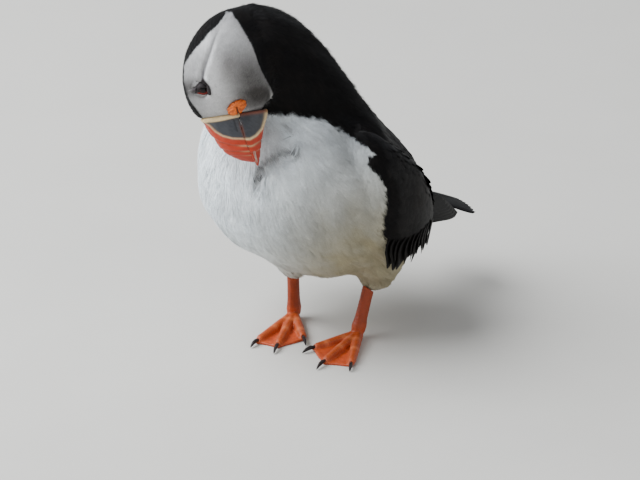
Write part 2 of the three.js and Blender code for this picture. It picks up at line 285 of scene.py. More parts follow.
# Outline of the pale face, ahead of the eyes and towards the crown.
FACE = np.array(
    [
        [18, 1.0], [12.6, 2.2], [9.6, 3.8], [5.4, 6.1], [3.3, 6.9], [0, 7.5], [-5.4, 8.0],
        [-8.4, 7.9], [-12.0, 6.8], [-15.4, 3.9], [-18.8, 0.3], [-22.1, -3.7], [-25.4, -7.3],
        [-28.6, -12.1], [-31.6, -14.9], [-34.0, -16.6], [-33.4, -18.6], [-29.3, -20.7],
        [-25.2, -22.4], [-19.1, -25.0], [-13.1, -26.9], [-7, -28.0], [-2.6, -29.4], [2, -31.2],
        [5.5, -32.6], [9.9, -32.4], [13.7, -29.7], [18, -27.5],
    ]
)
CREASE_LINE = np.array(
    [[-4.5, -0.9], [-7.9, -1.9], [-9.6, -2.8], [-14.7, -5.3], [-21.9, -8.8], [-27.9, -12.4]]
)
# Greyer places of the pale face, partly its own grey and partly painted shade where it turns from
# the light: their middle, their reach, and how deep they are.
FACE_SHADES = (
    ((6.5, -26.5), (3.6, 5.8), 3.0),
    ((0.0, -27.0), (9.0, 9.0), 0.75),
    ((-3.0, -23.0), (8.0, 6.0), 0.48),
    ((-11.0, -20.0), (10.0, 7.0), 0.34),
    ((6.0, -17.0), (4.0, 3.5), 0.42),
    ((11.0, -22.0), (3.0, 6.0), 0.9),
    ((0.0, -22.0), (7.0, 5.0), 0.34),
    ((8.0, -18.0), (4.0, 3.0), 0.22),
    ((-13.0, -14.0), (6.0, 4.0), 0.25),
    ((-25.0, -10.0), (5.0, 3.0), 0.3),
    ((-0.8, 6.8), (3.9, 5.0), 1.8),
)
# Painted shade on the white breast, low down, at the shoulder, and in its cleft and folds: their
# middle as x and z, their reach, and how deep.
BREAST_SHADES = (
    ((8.0, 75.0), (28.0, 9.0), 0.24),
    ((11.0, 61.0), (14.0, 8.0), 0.14),
    ((22.0, 114.0), (5.0, 7.0), 0.3),
    ((28.0, 105.0), (5.0, 10.0), 0.18),
    ((1.4, 100.8), (2.8, 4.0), 0.8),
    ((4.2, 104.2), (2.8, 2.2), 0.35),
    ((12.4, 110.0), (3.0, 2.0), 0.8),
    ((6.5, 108.8), (5.0, 3.5), 0.22),
    ((-1.6, 93.0), (1.0, 5.0), 0.25),
)
FOREHEAD_EDGE = np.array([[-30, -13.5], [-21.9, -8.8], [-14.7, -5.3], [-4.5, -0.9], [14, -0.6]])
# Dark bare skin about the eye: up to the crown, down to the cheek, and back to the crease.
EYE_PATCH = np.array(
    [[2.3, 1.8], [1.4, 5.2], [0.1, 5.4], [-0.9, 2.6], [-2.6, 0.7], [-5.2, -1.0], [-4.3, -1.6],
     [-2.4, -2.4], [-0.4, -3.7], [1.5, -4.0], [3.0, -3.3], [3.1, -0.5]]
)

# Where black gives way to white round the body: height, and the turn from straight ahead
# about an upright line through the body's middle, in degrees.
BORDER = np.array(
    [
        [30, 112], [39, 104], [46, 99], [53, 94], [58, 85], [62, 80], [73, 78], [84, 78],
        [90, 78], [96, 73], [101, 70], [104.6, 69], [107, 73], [110, 70], [113.5, 63],
        [116, 56], [120.3, 48], [123.3, 36], [124.8, 25], [125.4, 10], [125.6, 0],
    ]
)
BORDER_REACH = 48.0  # mm from that line to the surface, which turns degrees to millimetres
# The lower edge of the black at the rear: distance back, and height.
WING_HEM = np.array([[-20, 20], [4, 36], [12, 40], [34, 42], [55, 45], [66, 47.5], [80, 42]])
# Half the width of the black stripe down the middle of the forehead, by place ahead.
STRIPE = np.array([[-8, 5.4], [4, 4.6], [12, 3.0]])

RUFFLED = np.array([6.0, 117.0])  # the middle of the ruffled down: x, z
# Folds of the breast: a line of x and z on it, depth, half width, and how dark its painted shade
# shows.
FOLDS = (
    (np.array([[-1.0, 93.5], [-0.9, 97], [-0.6, 99.5], [0.4, 101.8]]), 3.0, 2.1, 0.95),
    (np.array([[0.4, 101.8], [4.5, 105.7], [7.1, 107.7], [9.3, 109.3]]), 2.2, 2.0, 0.6),
    (np.array([[9.6, 109.3], [12.0, 109.4], [14.4, 108.8]]), 1.4, 1.2, 0.9),
    (np.array([[4.3, 120.9], [7.2, 119.4], [9.1, 117.3]]), 0.5, 0.9, 0.5),
    (np.array([[23, 118], [25.3, 113.8], [28, 108], [30, 102]]), 1.1, 2.4, 0.2),
)
MOUND = (9.0, 100.0)  # the breast swells below the fold: x, z


def paleness(p):
    """How far surface points of the head lie inside its pale face, in mm."""
    f, l, h = in_head(p).T
    into = inside(np.stack([f, h], 1), FACE)
    stripe = np.abs(l) - np.interp(f, *STRIPE.T)
    return np.where(h > 0, np.minimum(into, stripe), into)


def blackness(p):
    """How far surface points of the body lie inside its black feathering, in mm."""
    x, y, z = (p - STAND_AT * [0, 1, 0]).T
    turn = np.degrees(np.abs(np.arctan2(x, -y)))
    line = np.stack([np.radians(BORDER[:, 1]) * BORDER_REACH, BORDER[:, 0]], 1)
    flat = np.stack([np.radians(turn) * BORDER_REACH, z], 1)
    edge = np.interp(z, *BORDER.T)
    around = from_line(flat, line) * np.where((turn > edge) | (z > BORDER[-1, 0]), 1, -1)
    hem = z - np.interp(y, *WING_HEM.T)
    return np.minimum(around, np.where(y > -16, hem, 99))


def markings(p, of_head):
    """Colours of the plumage at surface points, with painted light and shade on the breast and
    face. of_head is 1 on the head and 0 off it.
    """
    mottle, fine = ripple(p, 9, 3), ripple(p, 3.2, 4)
    x, y, z = (p - STAND_AT).T
    flat = np.stack([x, z], 1)
    # painted shade: the breast is greyer on the side away from the key lamp, and kept white on the
    # mound below the fold as painted light
    grey = ramp(x + 0.6 * y, -34, 14) * 0.42 * (1 - spot(flat, MOUND, (10, 8)))
    # the rear flank and thighs are buff, partly their own tint and partly painted shade low and
    # behind
    buff_and_shade = ramp(z, 125, 45) * ramp(x + y, -75, 14)
    # grey down shows beside the bill, where the breast has been parted
    beside = spot(flat, RUFFLED, (10, 9)) * ramp(y, -20, -34)
    # painted shade on the breast: low down, at the shoulder, and in its cleft and folds
    painted_breast_shade = sum(deep * spot(flat, centre, reach) for centre, reach, deep in BREAST_SHADES)
    white = layers(
        len(p), SNOW,
        (DOWN_GREY_AND_SHADE, grey),
        (BUFF, np.clip(buff_and_shade + 0.06 * mottle * buff_and_shade, 0, 1)),
        (DOWN_GREY_AND_SHADE, np.clip(beside * (0.14 + 0.25 * fine), 0, 0.6)),
        (CHIN_GREY_AND_SHADE, 1 - np.exp(-painted_breast_shade * ramp(y, 0, -20))),
        # painted shade in the breast's folds
        (CHIN_GREY_AND_SHADE, np.clip(breast_folds(p, 0)[1], 0, 0.9)),
    )
    black = layers(len(p), SOOT, (SOOT_BROWN, np.clip(0.3 + 0.35 * mottle + 0.2 * fine, 0, 1)))
    body = blend_in(white, black, ramp(blackness(p) + 0.5 * fine, -0.5, 0.5))

    f, _, h = in_head(p).T
    flat = np.stack([f, h], 1)
    # painted light and shade: the face is painted darker above the forehead's edge and outside a
    # lit band across the cheek
    soft = 0.8 + 3 * ramp(f, 1, 6)
    above = ramp((h - np.interp(f, *FOREHEAD_EDGE.T)) / soft, -0.5, 1.5) * ramp(f, -24, -8)
    bright = spot(flat, (-5, -5.5), (18, 5)) * (1 - above)
    depth = 0.36 * above + 0.34 * (1 - bright) + 0.04 * fine
    for centre, reach, deep in FACE_SHADES:
        depth = depth + deep * spot(flat, centre, reach)
    hem = ramp(inside(flat, FACE), 1.9, 0.5) * ramp(f, 2, 7) * ramp(h, -27, -30)
    # the crease's grey line, partly painted shade in the crease
    crease = bell(from_line(flat, CREASE_LINE), 0.6) * ramp(f, -30, -16)
    face = layers(
        len(p), CHEEK,
        (CHEEK_WARM, spot(flat, (-8, -13), (7, 5)) * 0.5),
        (CHIN_GREY_AND_SHADE, np.clip(1 - np.exp(-depth * (1 - 0.7 * hem)), 0, 0.96)),
        (CREASE, ramp(f, -25, -36) * 0.5),
        (CREASE, crease * (0.45 + 0.4 * ramp(f, -10, -5))),
        (EYE_SKIN, ramp(inside(flat, EYE_PATCH), -0.5, 0.4)),
    )
    head = blend_in(black, face, ramp(paleness(p) + 0.1 * fine, -0.35, 0.35))
    of_head = ramp(of_head, 0.3, 0.7)[:, None]
    return body * (1 - of_head) + head * of_head


def breast_folds(p, head):
    """How far the breast's folds sink its surface, in mm, and the painted shade in them."""
    x, y, z = (p - STAND_AT).T
    flat = np.stack([x, z], 1)
    front = ramp(y, -12, -22) * (1 - head)
    depth, dark = -0.9 * spot(flat, MOUND, (9, 7)), np.zeros(len(p))
    for line, deep, wide, shade in FOLDS:
        near = bell(from_line(flat, line), wide)
        depth = depth + deep * near
        dark = np.maximum(dark, shade * near**1.5)
    return depth * front, dark * front


def ruffled(p, head):
    """1 where the breast's down is parted and stands up, beside the bill."""
    x, y, z = (p - STAND_AT).T
    flat = np.stack([x, z], 1)
    amount = spot(flat, RUFFLED, (11, 8)) + 0.6 * spot(flat, (-1, 99), (5, 7))
    return np.clip(amount, 0, 1) * ramp(y, -20, -34) * (1 - head)


# ------------------------------------------------------------------ making meshes


def merged(node, grow=0.0):
    """A bmesh copy of a CAD node with its loose triangles joined, swelled by grow mm."""
    shape = bmesh.new()
    shape.from_mesh(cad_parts[node].data)
    bmesh.ops.remove_doubles(shape, verts=shape.verts, dist=0.000005)
    shape.normal_update()
    moves = [v.normal * grow * MM for v in shape.verts]
    for v, move in zip(shape.verts, moves):
        v.co += move
    return shape


def as_object(name, mesh):
    piece = bpy.data.objects.new(name, mesh)
    bpy.context.scene.collection.objects.link(piece)
    return piece


def finished(name, shape):
    """A piece from a bmesh, which is freed."""
    mesh = bpy.data.meshes.new(name)
    shape.to_mesh(mesh)
    shape.free()
    mesh.shade_smooth()
    return as_object(name, mesh)


def applied(piece):
    """The piece with its modifiers made part of its mesh."""
    bpy.context.view_layer.update()
    deps = bpy.context.evaluated_depsgraph_get()
    mesh = bpy.data.meshes.new_from_object(piece.evaluated_get(deps))
    piece.modifiers.clear()
    old = piece.data
    piece.data = mesh
    bpy.data.meshes.remove(old)
    mesh.name = piece.name
    return piece


def remade(name, nodes, voxel, rounds, grow):
    """Copies of CAD nodes, each swelled by grow mm, joined into one even, smoothed mesh."""
    mesh = bpy.data.meshes.new(name)
    together = bmesh.new()
    for node in nodes:
        shape = merged(node, grow)
        shape.to_mesh(mesh)
        shape.free()
        together.from_mesh(mesh)
    together.to_mesh(mesh)
    together.free()
    piece = as_object(name, mesh)
    remesh = piece.modifiers.new("even", "REMESH")
    remesh.mode = "VOXEL"
    remesh.voxel_size = voxel * MM
    smooth = piece.modifiers.new("soft", "SMOOTH")
    smooth.factor = 0.5
    smooth.iterations = rounds
    applied(piece)
    return largest(piece)


def largest(piece):
    """Drops every loose crumb but the biggest body of the mesh."""
    shape = bmesh.new()
    shape.from_mesh(piece.data)
    todo = set(shape.verts)
    best = []
    while todo:
        stack = [todo.pop()]
        body = list(stack)
        while stack:
            for edge in stack.pop().link_edges:
                for v in edge.verts:
                    if v in todo:
                        todo.remove(v)
                        stack.append(v)
                        body.append(v)
        if len(body) > len(best):
            best = body
    keep = set(best)
    bmesh.ops.delete(shape, geom=[v for v in shape.verts if v not in keep], context="VERTS")
    shape.to_mesh(piece.data)
    shape.free()
    piece.data.shade_smooth()
    return piece


def points_of(piece):
    flat = np.empty(len(piece.data.vertices) * 3, np.float32)
    piece.data.vertices.foreach_get("co", flat)
    return flat.reshape(-1, 3).astype(float) / MM


def normals_of(piece):
    flat = np.empty(len(piece.data.vertices) * 3, np.float32)
    piece.data.vertex_normals.foreach_get("vector", flat)
    return flat.reshape(-1, 3).astype(float)


def move_points(piece, points):
    piece.data.vertices.foreach_set("co", (points * MM).astype(np.float32).ravel())
    piece.data.update()


def paint(piece, colours):
    """Stores a colour for every point of the piece."""
    rows = np.ones((len(colours), 4), np.float32)
    rows[:, :3] = np.clip(colours, 0, 1)
    layer = piece.data.attributes.new("tone", "FLOAT_COLOR", "POINT")
    layer.data.foreach_set("color", rows.ravel())


def corner_map(piece, places):
    """Stores the OFBake map from a place for every point."""
    mesh = piece.data
    corner = np.empty(len(mesh.loops), np.int32)
    mesh.loops.foreach_get("vertex_index", corner)
    layer = mesh.uv_layers.new(name="OFBake")
    layer.data.foreach_set("uv", places[corner].astype(np.float32).ravel())


def own_map(piece):
    """A place for each point on a round unwrap of the piece about its middle."""
    p = points_of(piece)
    low, high = p.min(0), p.max(0)
    q = unit((p - (low + high) / 2) / np.maximum(high - low, 1e-6))
    return np.stack(
        [0.5 + 0.48 * np.arctan2(q[:, 1], q[:, 0]) / math.pi, 0.5 + 0.48 * q[:, 2]], 1
    )


def colour_over(piece, colours):
    """Paints a bare piece, and gives it its own round map."""
    paint(piece, colours)
    corner_map(piece, own_map(piece))


def dress(piece, finish):
    piece.data.materials.clear()
    piece.data.materials.append(material(finish))
    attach(piece, "root")
    return piece


def thicken(piece, thickness):
    """Gives thin blades a real thickness."""
    solid = piece.modifiers.new("thickness", "SOLIDIFY")
    solid.thickness = thickness * MM
    solid.offset = 0
    return applied(piece)


# ------------------------------------------------------------------ blades

PATCH, PATCH_STEP = 0.003, 0.001  # shares of the map that a blade takes, and a tuft's steps

def blade(across, along, outline):
    """One blade as points (u across from -1 to 1, s along from 0 to 1) and faces. outline
    gives its half width, as a share, along its length; a closed tip is drawn to a point."""
    shape = bmesh.new()
    bmesh.ops.create_grid(shape, x_segments=across, y_segments=along, size=1)
    for v in shape.verts:
        v.co.y = (v.co.y + 1) / 2
    if outline(1.0) == 0:
        tip = [v for v in shape.verts if v.co.y > 0.999]
        bmesh.ops.pointmerge(shape, verts=tip, merge_co=Vector((0, 1, 0)))
    shape.verts.ensure_lookup_table()
    shape.verts.index_update()
    flat = np.array([v.co[:2] for v in shape.verts])
    faces = [[v.index for v in f.verts][::-1] for f in shape.faces]
    shape.free()
    wide = np.array([outline(s) for s in flat[:, 1]])
    return flat, wide, faces


def blades(name, kind, root, mid, tip, side, half, colours, places, cup=0.0, shade=None,
           facing=None):
    """A joined mesh of blades. Each runs from root by mid to tip, with side the direction
    across it and half its half width; cup is how far its edges bend down. colours are one
    for each blade, or rows of them at even steps along it, the last at its tip. facing,
    where given, is what each blade's surface faces, so that a lock of them shades as one."""
    flat, wide, faces = kind
    u, s = flat[:, 0], flat[:, 1]
    curve = (
        root[:, None] * ((1 - s) ** 2)[:, None]
        + mid[:, None] * (2 * s * (1 - s))[:, None]
        + tip[:, None] * (s**2)[:, None]
    )
    up = unit(np.cross(tip - root, side))
    width = half[:, None, None] * (u * wide)[:, None]
    points = curve + side[:, None] * width
    points = points - up[:, None] * (np.asarray(cup) * np.abs(u * wide) ** 2)[..., None]
    count, each = len(root), len(u)
    points = points.reshape(-1, 3)
    sizes = np.array([len(f) for f in faces])
    corners = np.concatenate(faces)
    loops = (corners[None] + (np.arange(count) * each)[:, None]).ravel()
    starts = np.concatenate([[0], np.cumsum(np.tile(sizes, count))[:-1]])
    mesh = bpy.data.meshes.new(name)
    mesh.vertices.add(len(points))
    mesh.vertices.foreach_set("co", (points * MM).astype(np.float32).ravel())
    mesh.loops.add(len(loops))
    mesh.loops.foreach_set("vertex_index", loops.astype(np.int32))
    mesh.polygons.add(len(starts))
    mesh.polygons.foreach_set("loop_start", starts.astype(np.int32))
    mesh.update(calc_edges=True)
    mesh.shade_smooth()
    piece = as_object(name, mesh)
    shading = np.ones(each) if shade is None else shade(u, s)
    if facing is not None:
        mesh.normals_split_custom_set_from_vertices(np.repeat(facing, each, axis=0))
    steps = colours[None] if colours.ndim == 2 else colours
    share = np.maximum(0, 1 - np.abs(s[:, None] * len(steps) - 1 - np.arange(len(steps))))
    share[s * len(steps) < 1, 0] = 1
    tint = np.einsum("sk,kbc->bsc", share, steps)
    paint(piece, (tint * shading[None, :, None]).reshape(-1, 3))
    patch = np.stack([0.5 * u, s - 0.5], 1) * PATCH
    corner_map(piece, (places[:, None] + patch[None]).reshape(-1, 2))
    return piece


# ------------------------------------------------------------------ skin

FLESH = ("trunk", "neck", "head", "thigh_left", "thigh_right", "wing_left", "wing_right")
SKIN_DETAIL = 1.15  # mm between the skin's points, halved on the head
HEAD_SPREAD, WING_SPREAD = 4.0, 3.0  # mm over which the head and the wings give way to the rest
# How deep the coat lies over the skin, in mm, and how much thinner it is in places.
BODY_COAT, THIGH_COAT = 1.7, 0.8
HEAD_THINNER, BILL_THINNER, WING_THINNER = 0.9, 0.6, 0.7
THIGH_TOP = 26  # mm up
kept = {}  # what the coat needs to know about the skin


def nearness(points, node, reach):
    """1 where points touch the node, falling to 0 at reach mm from it."""
    shape = merged(node)
    tree = BVHTree.FromBMesh(shape)
    shape.free()
    away = np.full(len(points), reach, float)
    low, high = (np.array(c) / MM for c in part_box(node))
    close = np.all((points > low - reach) & (points < high + reach), axis=1)
    for i in np.flatnonzero(close):
        hit = tree.find_nearest(Vector(points[i] * MM), reach * MM)
        if hit[0] is not None:
            away[i] = hit[3] / MM
    return 1 - np.clip(away / reach, 0, 1)


def headness(points):
    """1 on the head and 0 off it."""
    return ramp(nearness(points, "head", HEAD_SPREAD), 0.15, 0.5)


def wingness(points):
    """1 on a folded wing, falling to 0 a little way off it."""
    near = [nearness(points, "wing_" + side_name, WING_SPREAD) for side_name, _ in SIDES]
    return np.maximum(*near)


def make_skin():
    skin = remade("skin", FLESH, SKIN_DETAIL, rounds=26, grow=0.45)
    # the head's folds need finer points
    shape = bmesh.new()
    shape.from_mesh(skin.data)
    q = in_head(points_of(skin))
    fine = (q[:, 0] > -40) & (q[:, 0] < 17) & (np.abs(q[:, 1]) < 26) & (q[:, 2] > -36)
    shape.verts.ensure_lookup_table()
    edges = [e for e in shape.edges if fine[e.verts[0].index] and fine[e.verts[1].index]]
    bmesh.ops.subdivide_edges(shape, edges=edges, cuts=1, use_grid_fill=True, smooth=0.0)
    shape.to_mesh(skin.data)
    shape.free()
    skin.data.shade_smooth()

    p, n = points_of(skin), normals_of(skin)
    on_head = headness(p)
    f, l, h = in_head(p).T
    nearer_eye = np.where((l > 0)[:, None], middle("eye_left"), middle("eye_right"))
    from_eye = np.linalg.norm(p - nearer_eye, axis=1)
    wings = wingness(p)
    depth = BODY_COAT - HEAD_THINNER * on_head
    depth = depth - BILL_THINNER * on_head * ramp(f, -2, 11)
    depth = depth - WING_THINNER * ramp(wings, 0.2, 0.8)
    depth = np.where(p[:, 2] < THIGH_TOP, THIGH_COAT, depth)
    depth = depth * ramp(from_eye, EYE_RADIUS + 0.5, EYE_RADIUS + 5)
    # soft swells of the plumage along its lie
    swell = ripple(p - share_along(p, along_lie(p, on_head)[0]) * 0.7, 12, 8)
    depth = depth - 0.5 * swell * (1 - on_head) * (1 - ramp(wings, 0.1, 0.5))
    # the crease behind each eye, the cheek's swell below it, and the socket
    away = from_line(np.stack([f, h], 1), CREASE_LINE)
    sides = on_head * ramp(np.abs(l), 5, 9)
    tail_off = ramp(f, -30, -20)
    depth = depth + 0.6 * sides * tail_off * bell(away, 0.8)
    depth = depth - 0.35 * sides * tail_off * bell(away - 2.4, 1.4)
    depth = depth + 0.25 * sides * bell(from_eye - EYE_RADIUS, 2.2)
    p = p - n * depth[:, None]
    # the lids' edge: outside the bare patch the skin closes over each eye
    q = in_head(p)
    bare = ramp(inside(q[:, [0, 2]], EYE_PATCH), 0.4, -0.5)
    for side_name, sign in SIDES:
        f, l, h = (q - in_head(eye_centre(side_name))).T
        top = np.sqrt(np.maximum((EYE_RADIUS + 0.55) ** 2 - f**2 - h**2, 0))
        over = np.maximum(top - l * sign, 0) * (top > 0) * (q[:, 1] * sign > 5) * bare
        p = p + over[:, None] * HEAD_LEFT * sign
    # folds where the bill has parted the breast
    p = p - n * breast_folds(p, on_head)[0][:, None]
    move_points(skin, p)
    paint(skin, markings(p, on_head) * (0.92 + 0.08 * ripple(p, 2.5, 5))[:, None])
    corner_map(skin, coat_map(p, on_head))
    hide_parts(*FLESH)
    dress(skin, "downy_underfeather")
    learn_skin(skin)


# ------------------------------------------------------------------ coat


def learn_skin(skin):
    """Keeps what sampling needs of the whole skin."""
    mesh = skin.data
    mesh.calc_loop_triangles()
    tri = np.empty(len(mesh.loop_triangles) * 3, np.int32)
    mesh.loop_triangles.foreach_get("vertices", tri)
    tri = tri.reshape(-1, 3)
    p, n = points_of(skin), normals_of(skin)
    a, b, c = p[tri[:, 0]], p[tri[:, 1]], p[tri[:, 2]]
    area = np.linalg.norm(np.cross(b - a, c - a), axis=1) / 2
    tree = BVHTree.FromPolygons((p * MM).tolist(), tri.tolist())
    kept.update(tri=tri, p=p, n=n, area=area, tree=tree, head=headness(p), wing=wingness(p))


def scatter(density, seed):
    """Random places on the skin, with density tufts to a square mm at its points."""
    rng = np.random.default_rng(seed)
    tri = kept["tri"]
    want = density[tri].mean(1) * kept["area"]
    count = np.floor(want + rng.random(len(want))).astype(int)
    pick = tri[np.repeat(np.arange(len(tri)), count)]
    r1, r2 = np.sqrt(rng.random(len(pick))), rng.random(len(pick))
    share = np.stack([1 - r1, r1 * (1 - r2), r1 * r2], 1)
    at, normal = ((kept[key][pick] * share[..., None]).sum(1) for key in ("p", "n"))
    head, wing = ((kept[key][pick] * share).sum(1) for key in ("head", "wing"))
    return at, unit(normal), head, wing, rng


def tree_of(points):
    """A search tree of the points."""
    tree = KDTree(len(points))
    for i, co in enumerate(points):
        tree.insert(co, i)
    tree.balance()
    return tree


def thinned(at, spacing):
    """Which of the places to keep so that no two are closer than their spacing."""
    tree = tree_of(at)
    gone = np.zeros(len(at), bool)
    for i, co in enumerate(at):
        if not gone[i]:
            for _, j, _ in tree.find_range(co, spacing[i]):
                if j > i:
                    gone[j] = True
    return ~gone


def on_surface(q):
    """Nearest places on the skin, and the skin's directions there."""
    at, normal = np.empty_like(q), np.empty_like(q)
    for i, co in enumerate(q):
        at[i], normal[i] = kept["tree"].find_nearest(Vector(co * MM))[:2]
    return at / MM, normal


def lying(at, normal, head):
    """The lie of the plumage at places on the skin, flat along it, and the way across it."""
    way = along_lie(at, head)[0]
    way = unit(way - share_along(way, normal))
    return way, np.cross(normal, way)


STRAND = blade(1, 3, lambda s: (1 - s) ** 0.5 if s < 1 else 0)
FACE_STRAND = blade(1, 2, lambda s: 1 - 0.4 * s if s < 1 else 0)
PIECE_LIMIT = 190000  # triangles
LOCK_SPACING = 5.0  # mm between the middles of locks of feathers
TUFT_ROOT, COVERT_ROOT = 0.15, 0.4  # mm that their roots lie in the skin
COVERT_LIFT = 0.45  # mm that a covert's tip stands off the skin


def tuft_shade(u, s):
    """A tuft is painted a little darker at its roots, as shade where the tufts over it fall."""
    return 0.9 + 0.12 * s


def tufts(name, density, seed, length, lift, strands, half, fan, wander, gather,
          kind=STRAND, swirl=0.12):
    """One coat zone, in as many pieces as keep each small. density is by skin point, and
    length and lift are worked out at each root. Each tuft has some strands of half their
    width that fan out, strays by wander and swirl, and is gathered towards its lock."""
    at, normal, head, _, rng = scatter(density, seed)
    count = len(at)
    way, side = lying(at, normal, head)
    stray = (rng.normal(size=count) * wander + swirl * ripple(at, 18, seed + 1))[:, None]
    ruffle = ruffled(at, head)[:, None]
    stray = stray + ruffle * rng.normal(size=(count, 1)) * 0.3
    way = unit(way + side * stray)
    side = np.cross(normal, way)
    reach = length(at, head) * rng.uniform(0.75, 1.2, count)
    high = lift(at, head) * rng.uniform(0.5, 1.5, count) * (1 + 0.6 * ruffle[:, 0])
    pull = 0
    if gather:
        # neighbours lean together into locks
        centres = at[thinned(at, np.full(count, LOCK_SPACING))]
        tree = tree_of(centres)
        close = centres[[tree.find(co)[1] for co in at]]
        pull = share_along(close - at, side) * gather
    far, far_normal = on_surface(at + way * reach[:, None] + pull)
    half_way, half_normal = on_surface(at + way * reach[:, None] * 0.5 + pull * 0.3)
    tip = far + far_normal * high[:, None]
    mid = half_way + half_normal * (high * 1.25 + 0.1)[:, None]
    root = at - normal * TUFT_ROOT
    # each tuft's strands spread from nearly one root
    rep = np.repeat(np.arange(count), strands)
    k = np.tile((np.arange(strands) + 0.5) / strands * 2 - 1, count)
    k = k + rng.uniform(-0.5, 0.5, len(k)) / strands
    short = ((1 - 0.28 * k**2) * rng.uniform(0.8, 1.05, len(k)))[:, None]
    spread = (fan * reach[rep] * k)[:, None]
    r = root[rep] + side[rep] * (spread * 0.25)
    m = root[rep] + (mid - root)[rep] * short + side[rep] * (spread * 0.8)
    t = root[rep] + (tip - root)[rep] * short + side[rep] * spread
    m = m + normal[rep] * (rng.normal(size=len(k)) * 0.16 * high[rep])[:, None]
    t = t + normal[rep] * (rng.normal(size=len(k)) * 0.3 * high[rep])[:, None]
    third, last = at / 3 + half_way * 2 / 3, half_way * 2 / 3 + far / 3
    colours = np.stack([markings(q, head) for q in (third, last, far)])
    bright = colours[0].mean(1) > 0.2
    vary = rng.normal(size=count) * np.where(bright, 0.025, 0.12)
    drawn = at - share_along(at, way) * 0.75
    vary = vary + ripple(drawn, 5, seed + 2) * np.where(bright, 0.04, 0.1)
    colours = colours * (1 + vary)[None, :, None]
    places = coat_map(at, head)[rep] + np.stack([k, np.zeros(len(k))], 1) * PATCH_STEP
    facing = normal[rep] + 0.06 * rng.normal(size=(len(k), 3)) + 0.12 * side[rep] * k[:, None]
    facing = unit(facing)
    per = sum(len(f) - 2 for f in kind[2]) * strands
    parts = max(1, math.ceil(count * per / PIECE_LIMIT))
    order = np.argsort(at @ np.array([1.0, 0.35, -0.2]), kind="stable")
    for i, group in enumerate(np.array_split(order, parts)):
        pick = (group[:, None] * strands + np.arange(strands)).ravel()
        piece = blades(
            f"{name}_{i + 1}" if parts > 1 else name, kind, r[pick], m[pick], t[pick],
            side[rep][pick], np.full(len(pick), half), colours[:, rep[pick]], places[pick],
            shade=tuft_shade, facing=facing[pick],
        )
        dress(piece, "contour_feather_keratin")


def zones():
    """Shares of each coat zone at the skin's points."""
    p, wing = kept["p"], kept["wing"]
    head = ramp(kept["head"], 0.3, 0.7)
    into, within = paleness(p), blackness(p)
    feathered = head * (1 - ramp(inside(in_head(p)[:, [0, 2]], EYE_PATCH), -0.9, -0.3) * head)
    dark = ramp(within, -0.6, 0.6)
    back = np.maximum(wing > 0.2, ramp(p[:, 1], -4, 8) * ramp(p[:, 2], 128, 118))
    back = back * (1 - head) * ramp(within, 3.0, 6.0)
    return {
        "face": ramp(into, -1.2, -0.4) * feathered,
        "crown": ramp(into, 1.2, 0.4) * feathered,
        "collar": dark * (1 - head) * (1 - back),
        "back": back,
        "white": (1 - dark) * (1 - head),
    }


# ------------------------------------------------------------------ materials


def add(tree, kind, inputs=(), **settings):
    """Adds a node with its settings. inputs are by socket, or in their order, and each is a
    value, or a node or socket to link from, where a node gives its first output."""
    made = tree.nodes.new("ShaderNode" + kind)
    for key, value in settings.items():
        setattr(made, key, value)
    for socket, value in inputs.items() if isinstance(inputs, dict) else enumerate(inputs):
        if isinstance(value, bpy.types.Node):
            value = value.outputs[0]
        if isinstance(value, bpy.types.NodeSocket):
            tree.links.new(value, made.inputs[socket])
        else:
            made.inputs[socket].default_value = value
    return made


def per_metre(size_mm):
    """Noise scale that gives swells of that size."""
    return 1 / (size_mm * MM)


def material(name):
    """The material of that name, made the first time it is asked for. Each finish is given
    the tree, the colour painted on the piece and the places of its points."""
    if name not in bpy.data.materials:
        made = bpy.data.materials.new(name)
        made.use_nodes = True
        tree = made.node_tree
        tree.nodes.clear()
        own = add(tree, "Attribute", attribute_name="tone").outputs["Color"]
        shader = FINISHES[name](tree, own, add(tree, "TexCoord").outputs["Object"])
        add(tree, "OutputMaterial", {"Surface": shader}).is_active_output = True
    return bpy.data.materials[name]


def feathering(tree, own, place, streak, bump, rough, sheen, shine=0.2):
    """Feather keratin, mottled at two sizes. Barbs lie a third of a millimetre apart, too fine
    to show, so their grain is drawn about a millimetre across."""
    broad = add(tree, "TexNoise", {"Vector": place, "Scale": per_metre(6), "Detail": 3.0})
    fine = add(tree, "TexNoise", {"Vector": place, "Scale": per_metre(streak), "Detail": 2.0})
    light = add(tree, "MapRange", [broad, 0.3, 0.7, 0.94, 1.04])
    speck = add(tree, "MapRange", [fine, 0.3, 0.7, 0.93, 1.05])
    both = add(tree, "Math", [light, speck], operation="MULTIPLY")
    return add(tree, "BsdfPrincipled", {
        "Base Color": add(tree, "VectorMath", {0: own, "Scale": both}, operation="SCALE"),
        "Normal": add(tree, "Bump", {"Height": fine, "Strength": bump, "Distance": 0.3 * MM}),
        "Roughness": rough, "Specular IOR Level": shine,
        "Sheen Weight": sheen, "Sheen Roughness": 0.5,
    })


def bill_horn(tree, own, place):
    """Sheathing horn with faint growth lines, duller where they are worn."""
    lines = add(tree, "TexNoise", {"Vector": place, "Scale": per_metre(0.9), "Detail": 4.0})
    light = add(tree, "MapRange", [lines, 0.25, 0.75, 0.9, 1.07])
    return add(tree, "BsdfPrincipled", {
        "Base Color": add(tree, "VectorMath", {0: own, "Scale": light}, operation="SCALE"),
        "Normal": add(tree, "Bump", {"Height": lines, "Strength": 0.2, "Distance": 0.2 * MM}),
        "Roughness": add(tree, "MapRange", [lines, 0.3, 0.7, 0.32, 0.52]),
    })


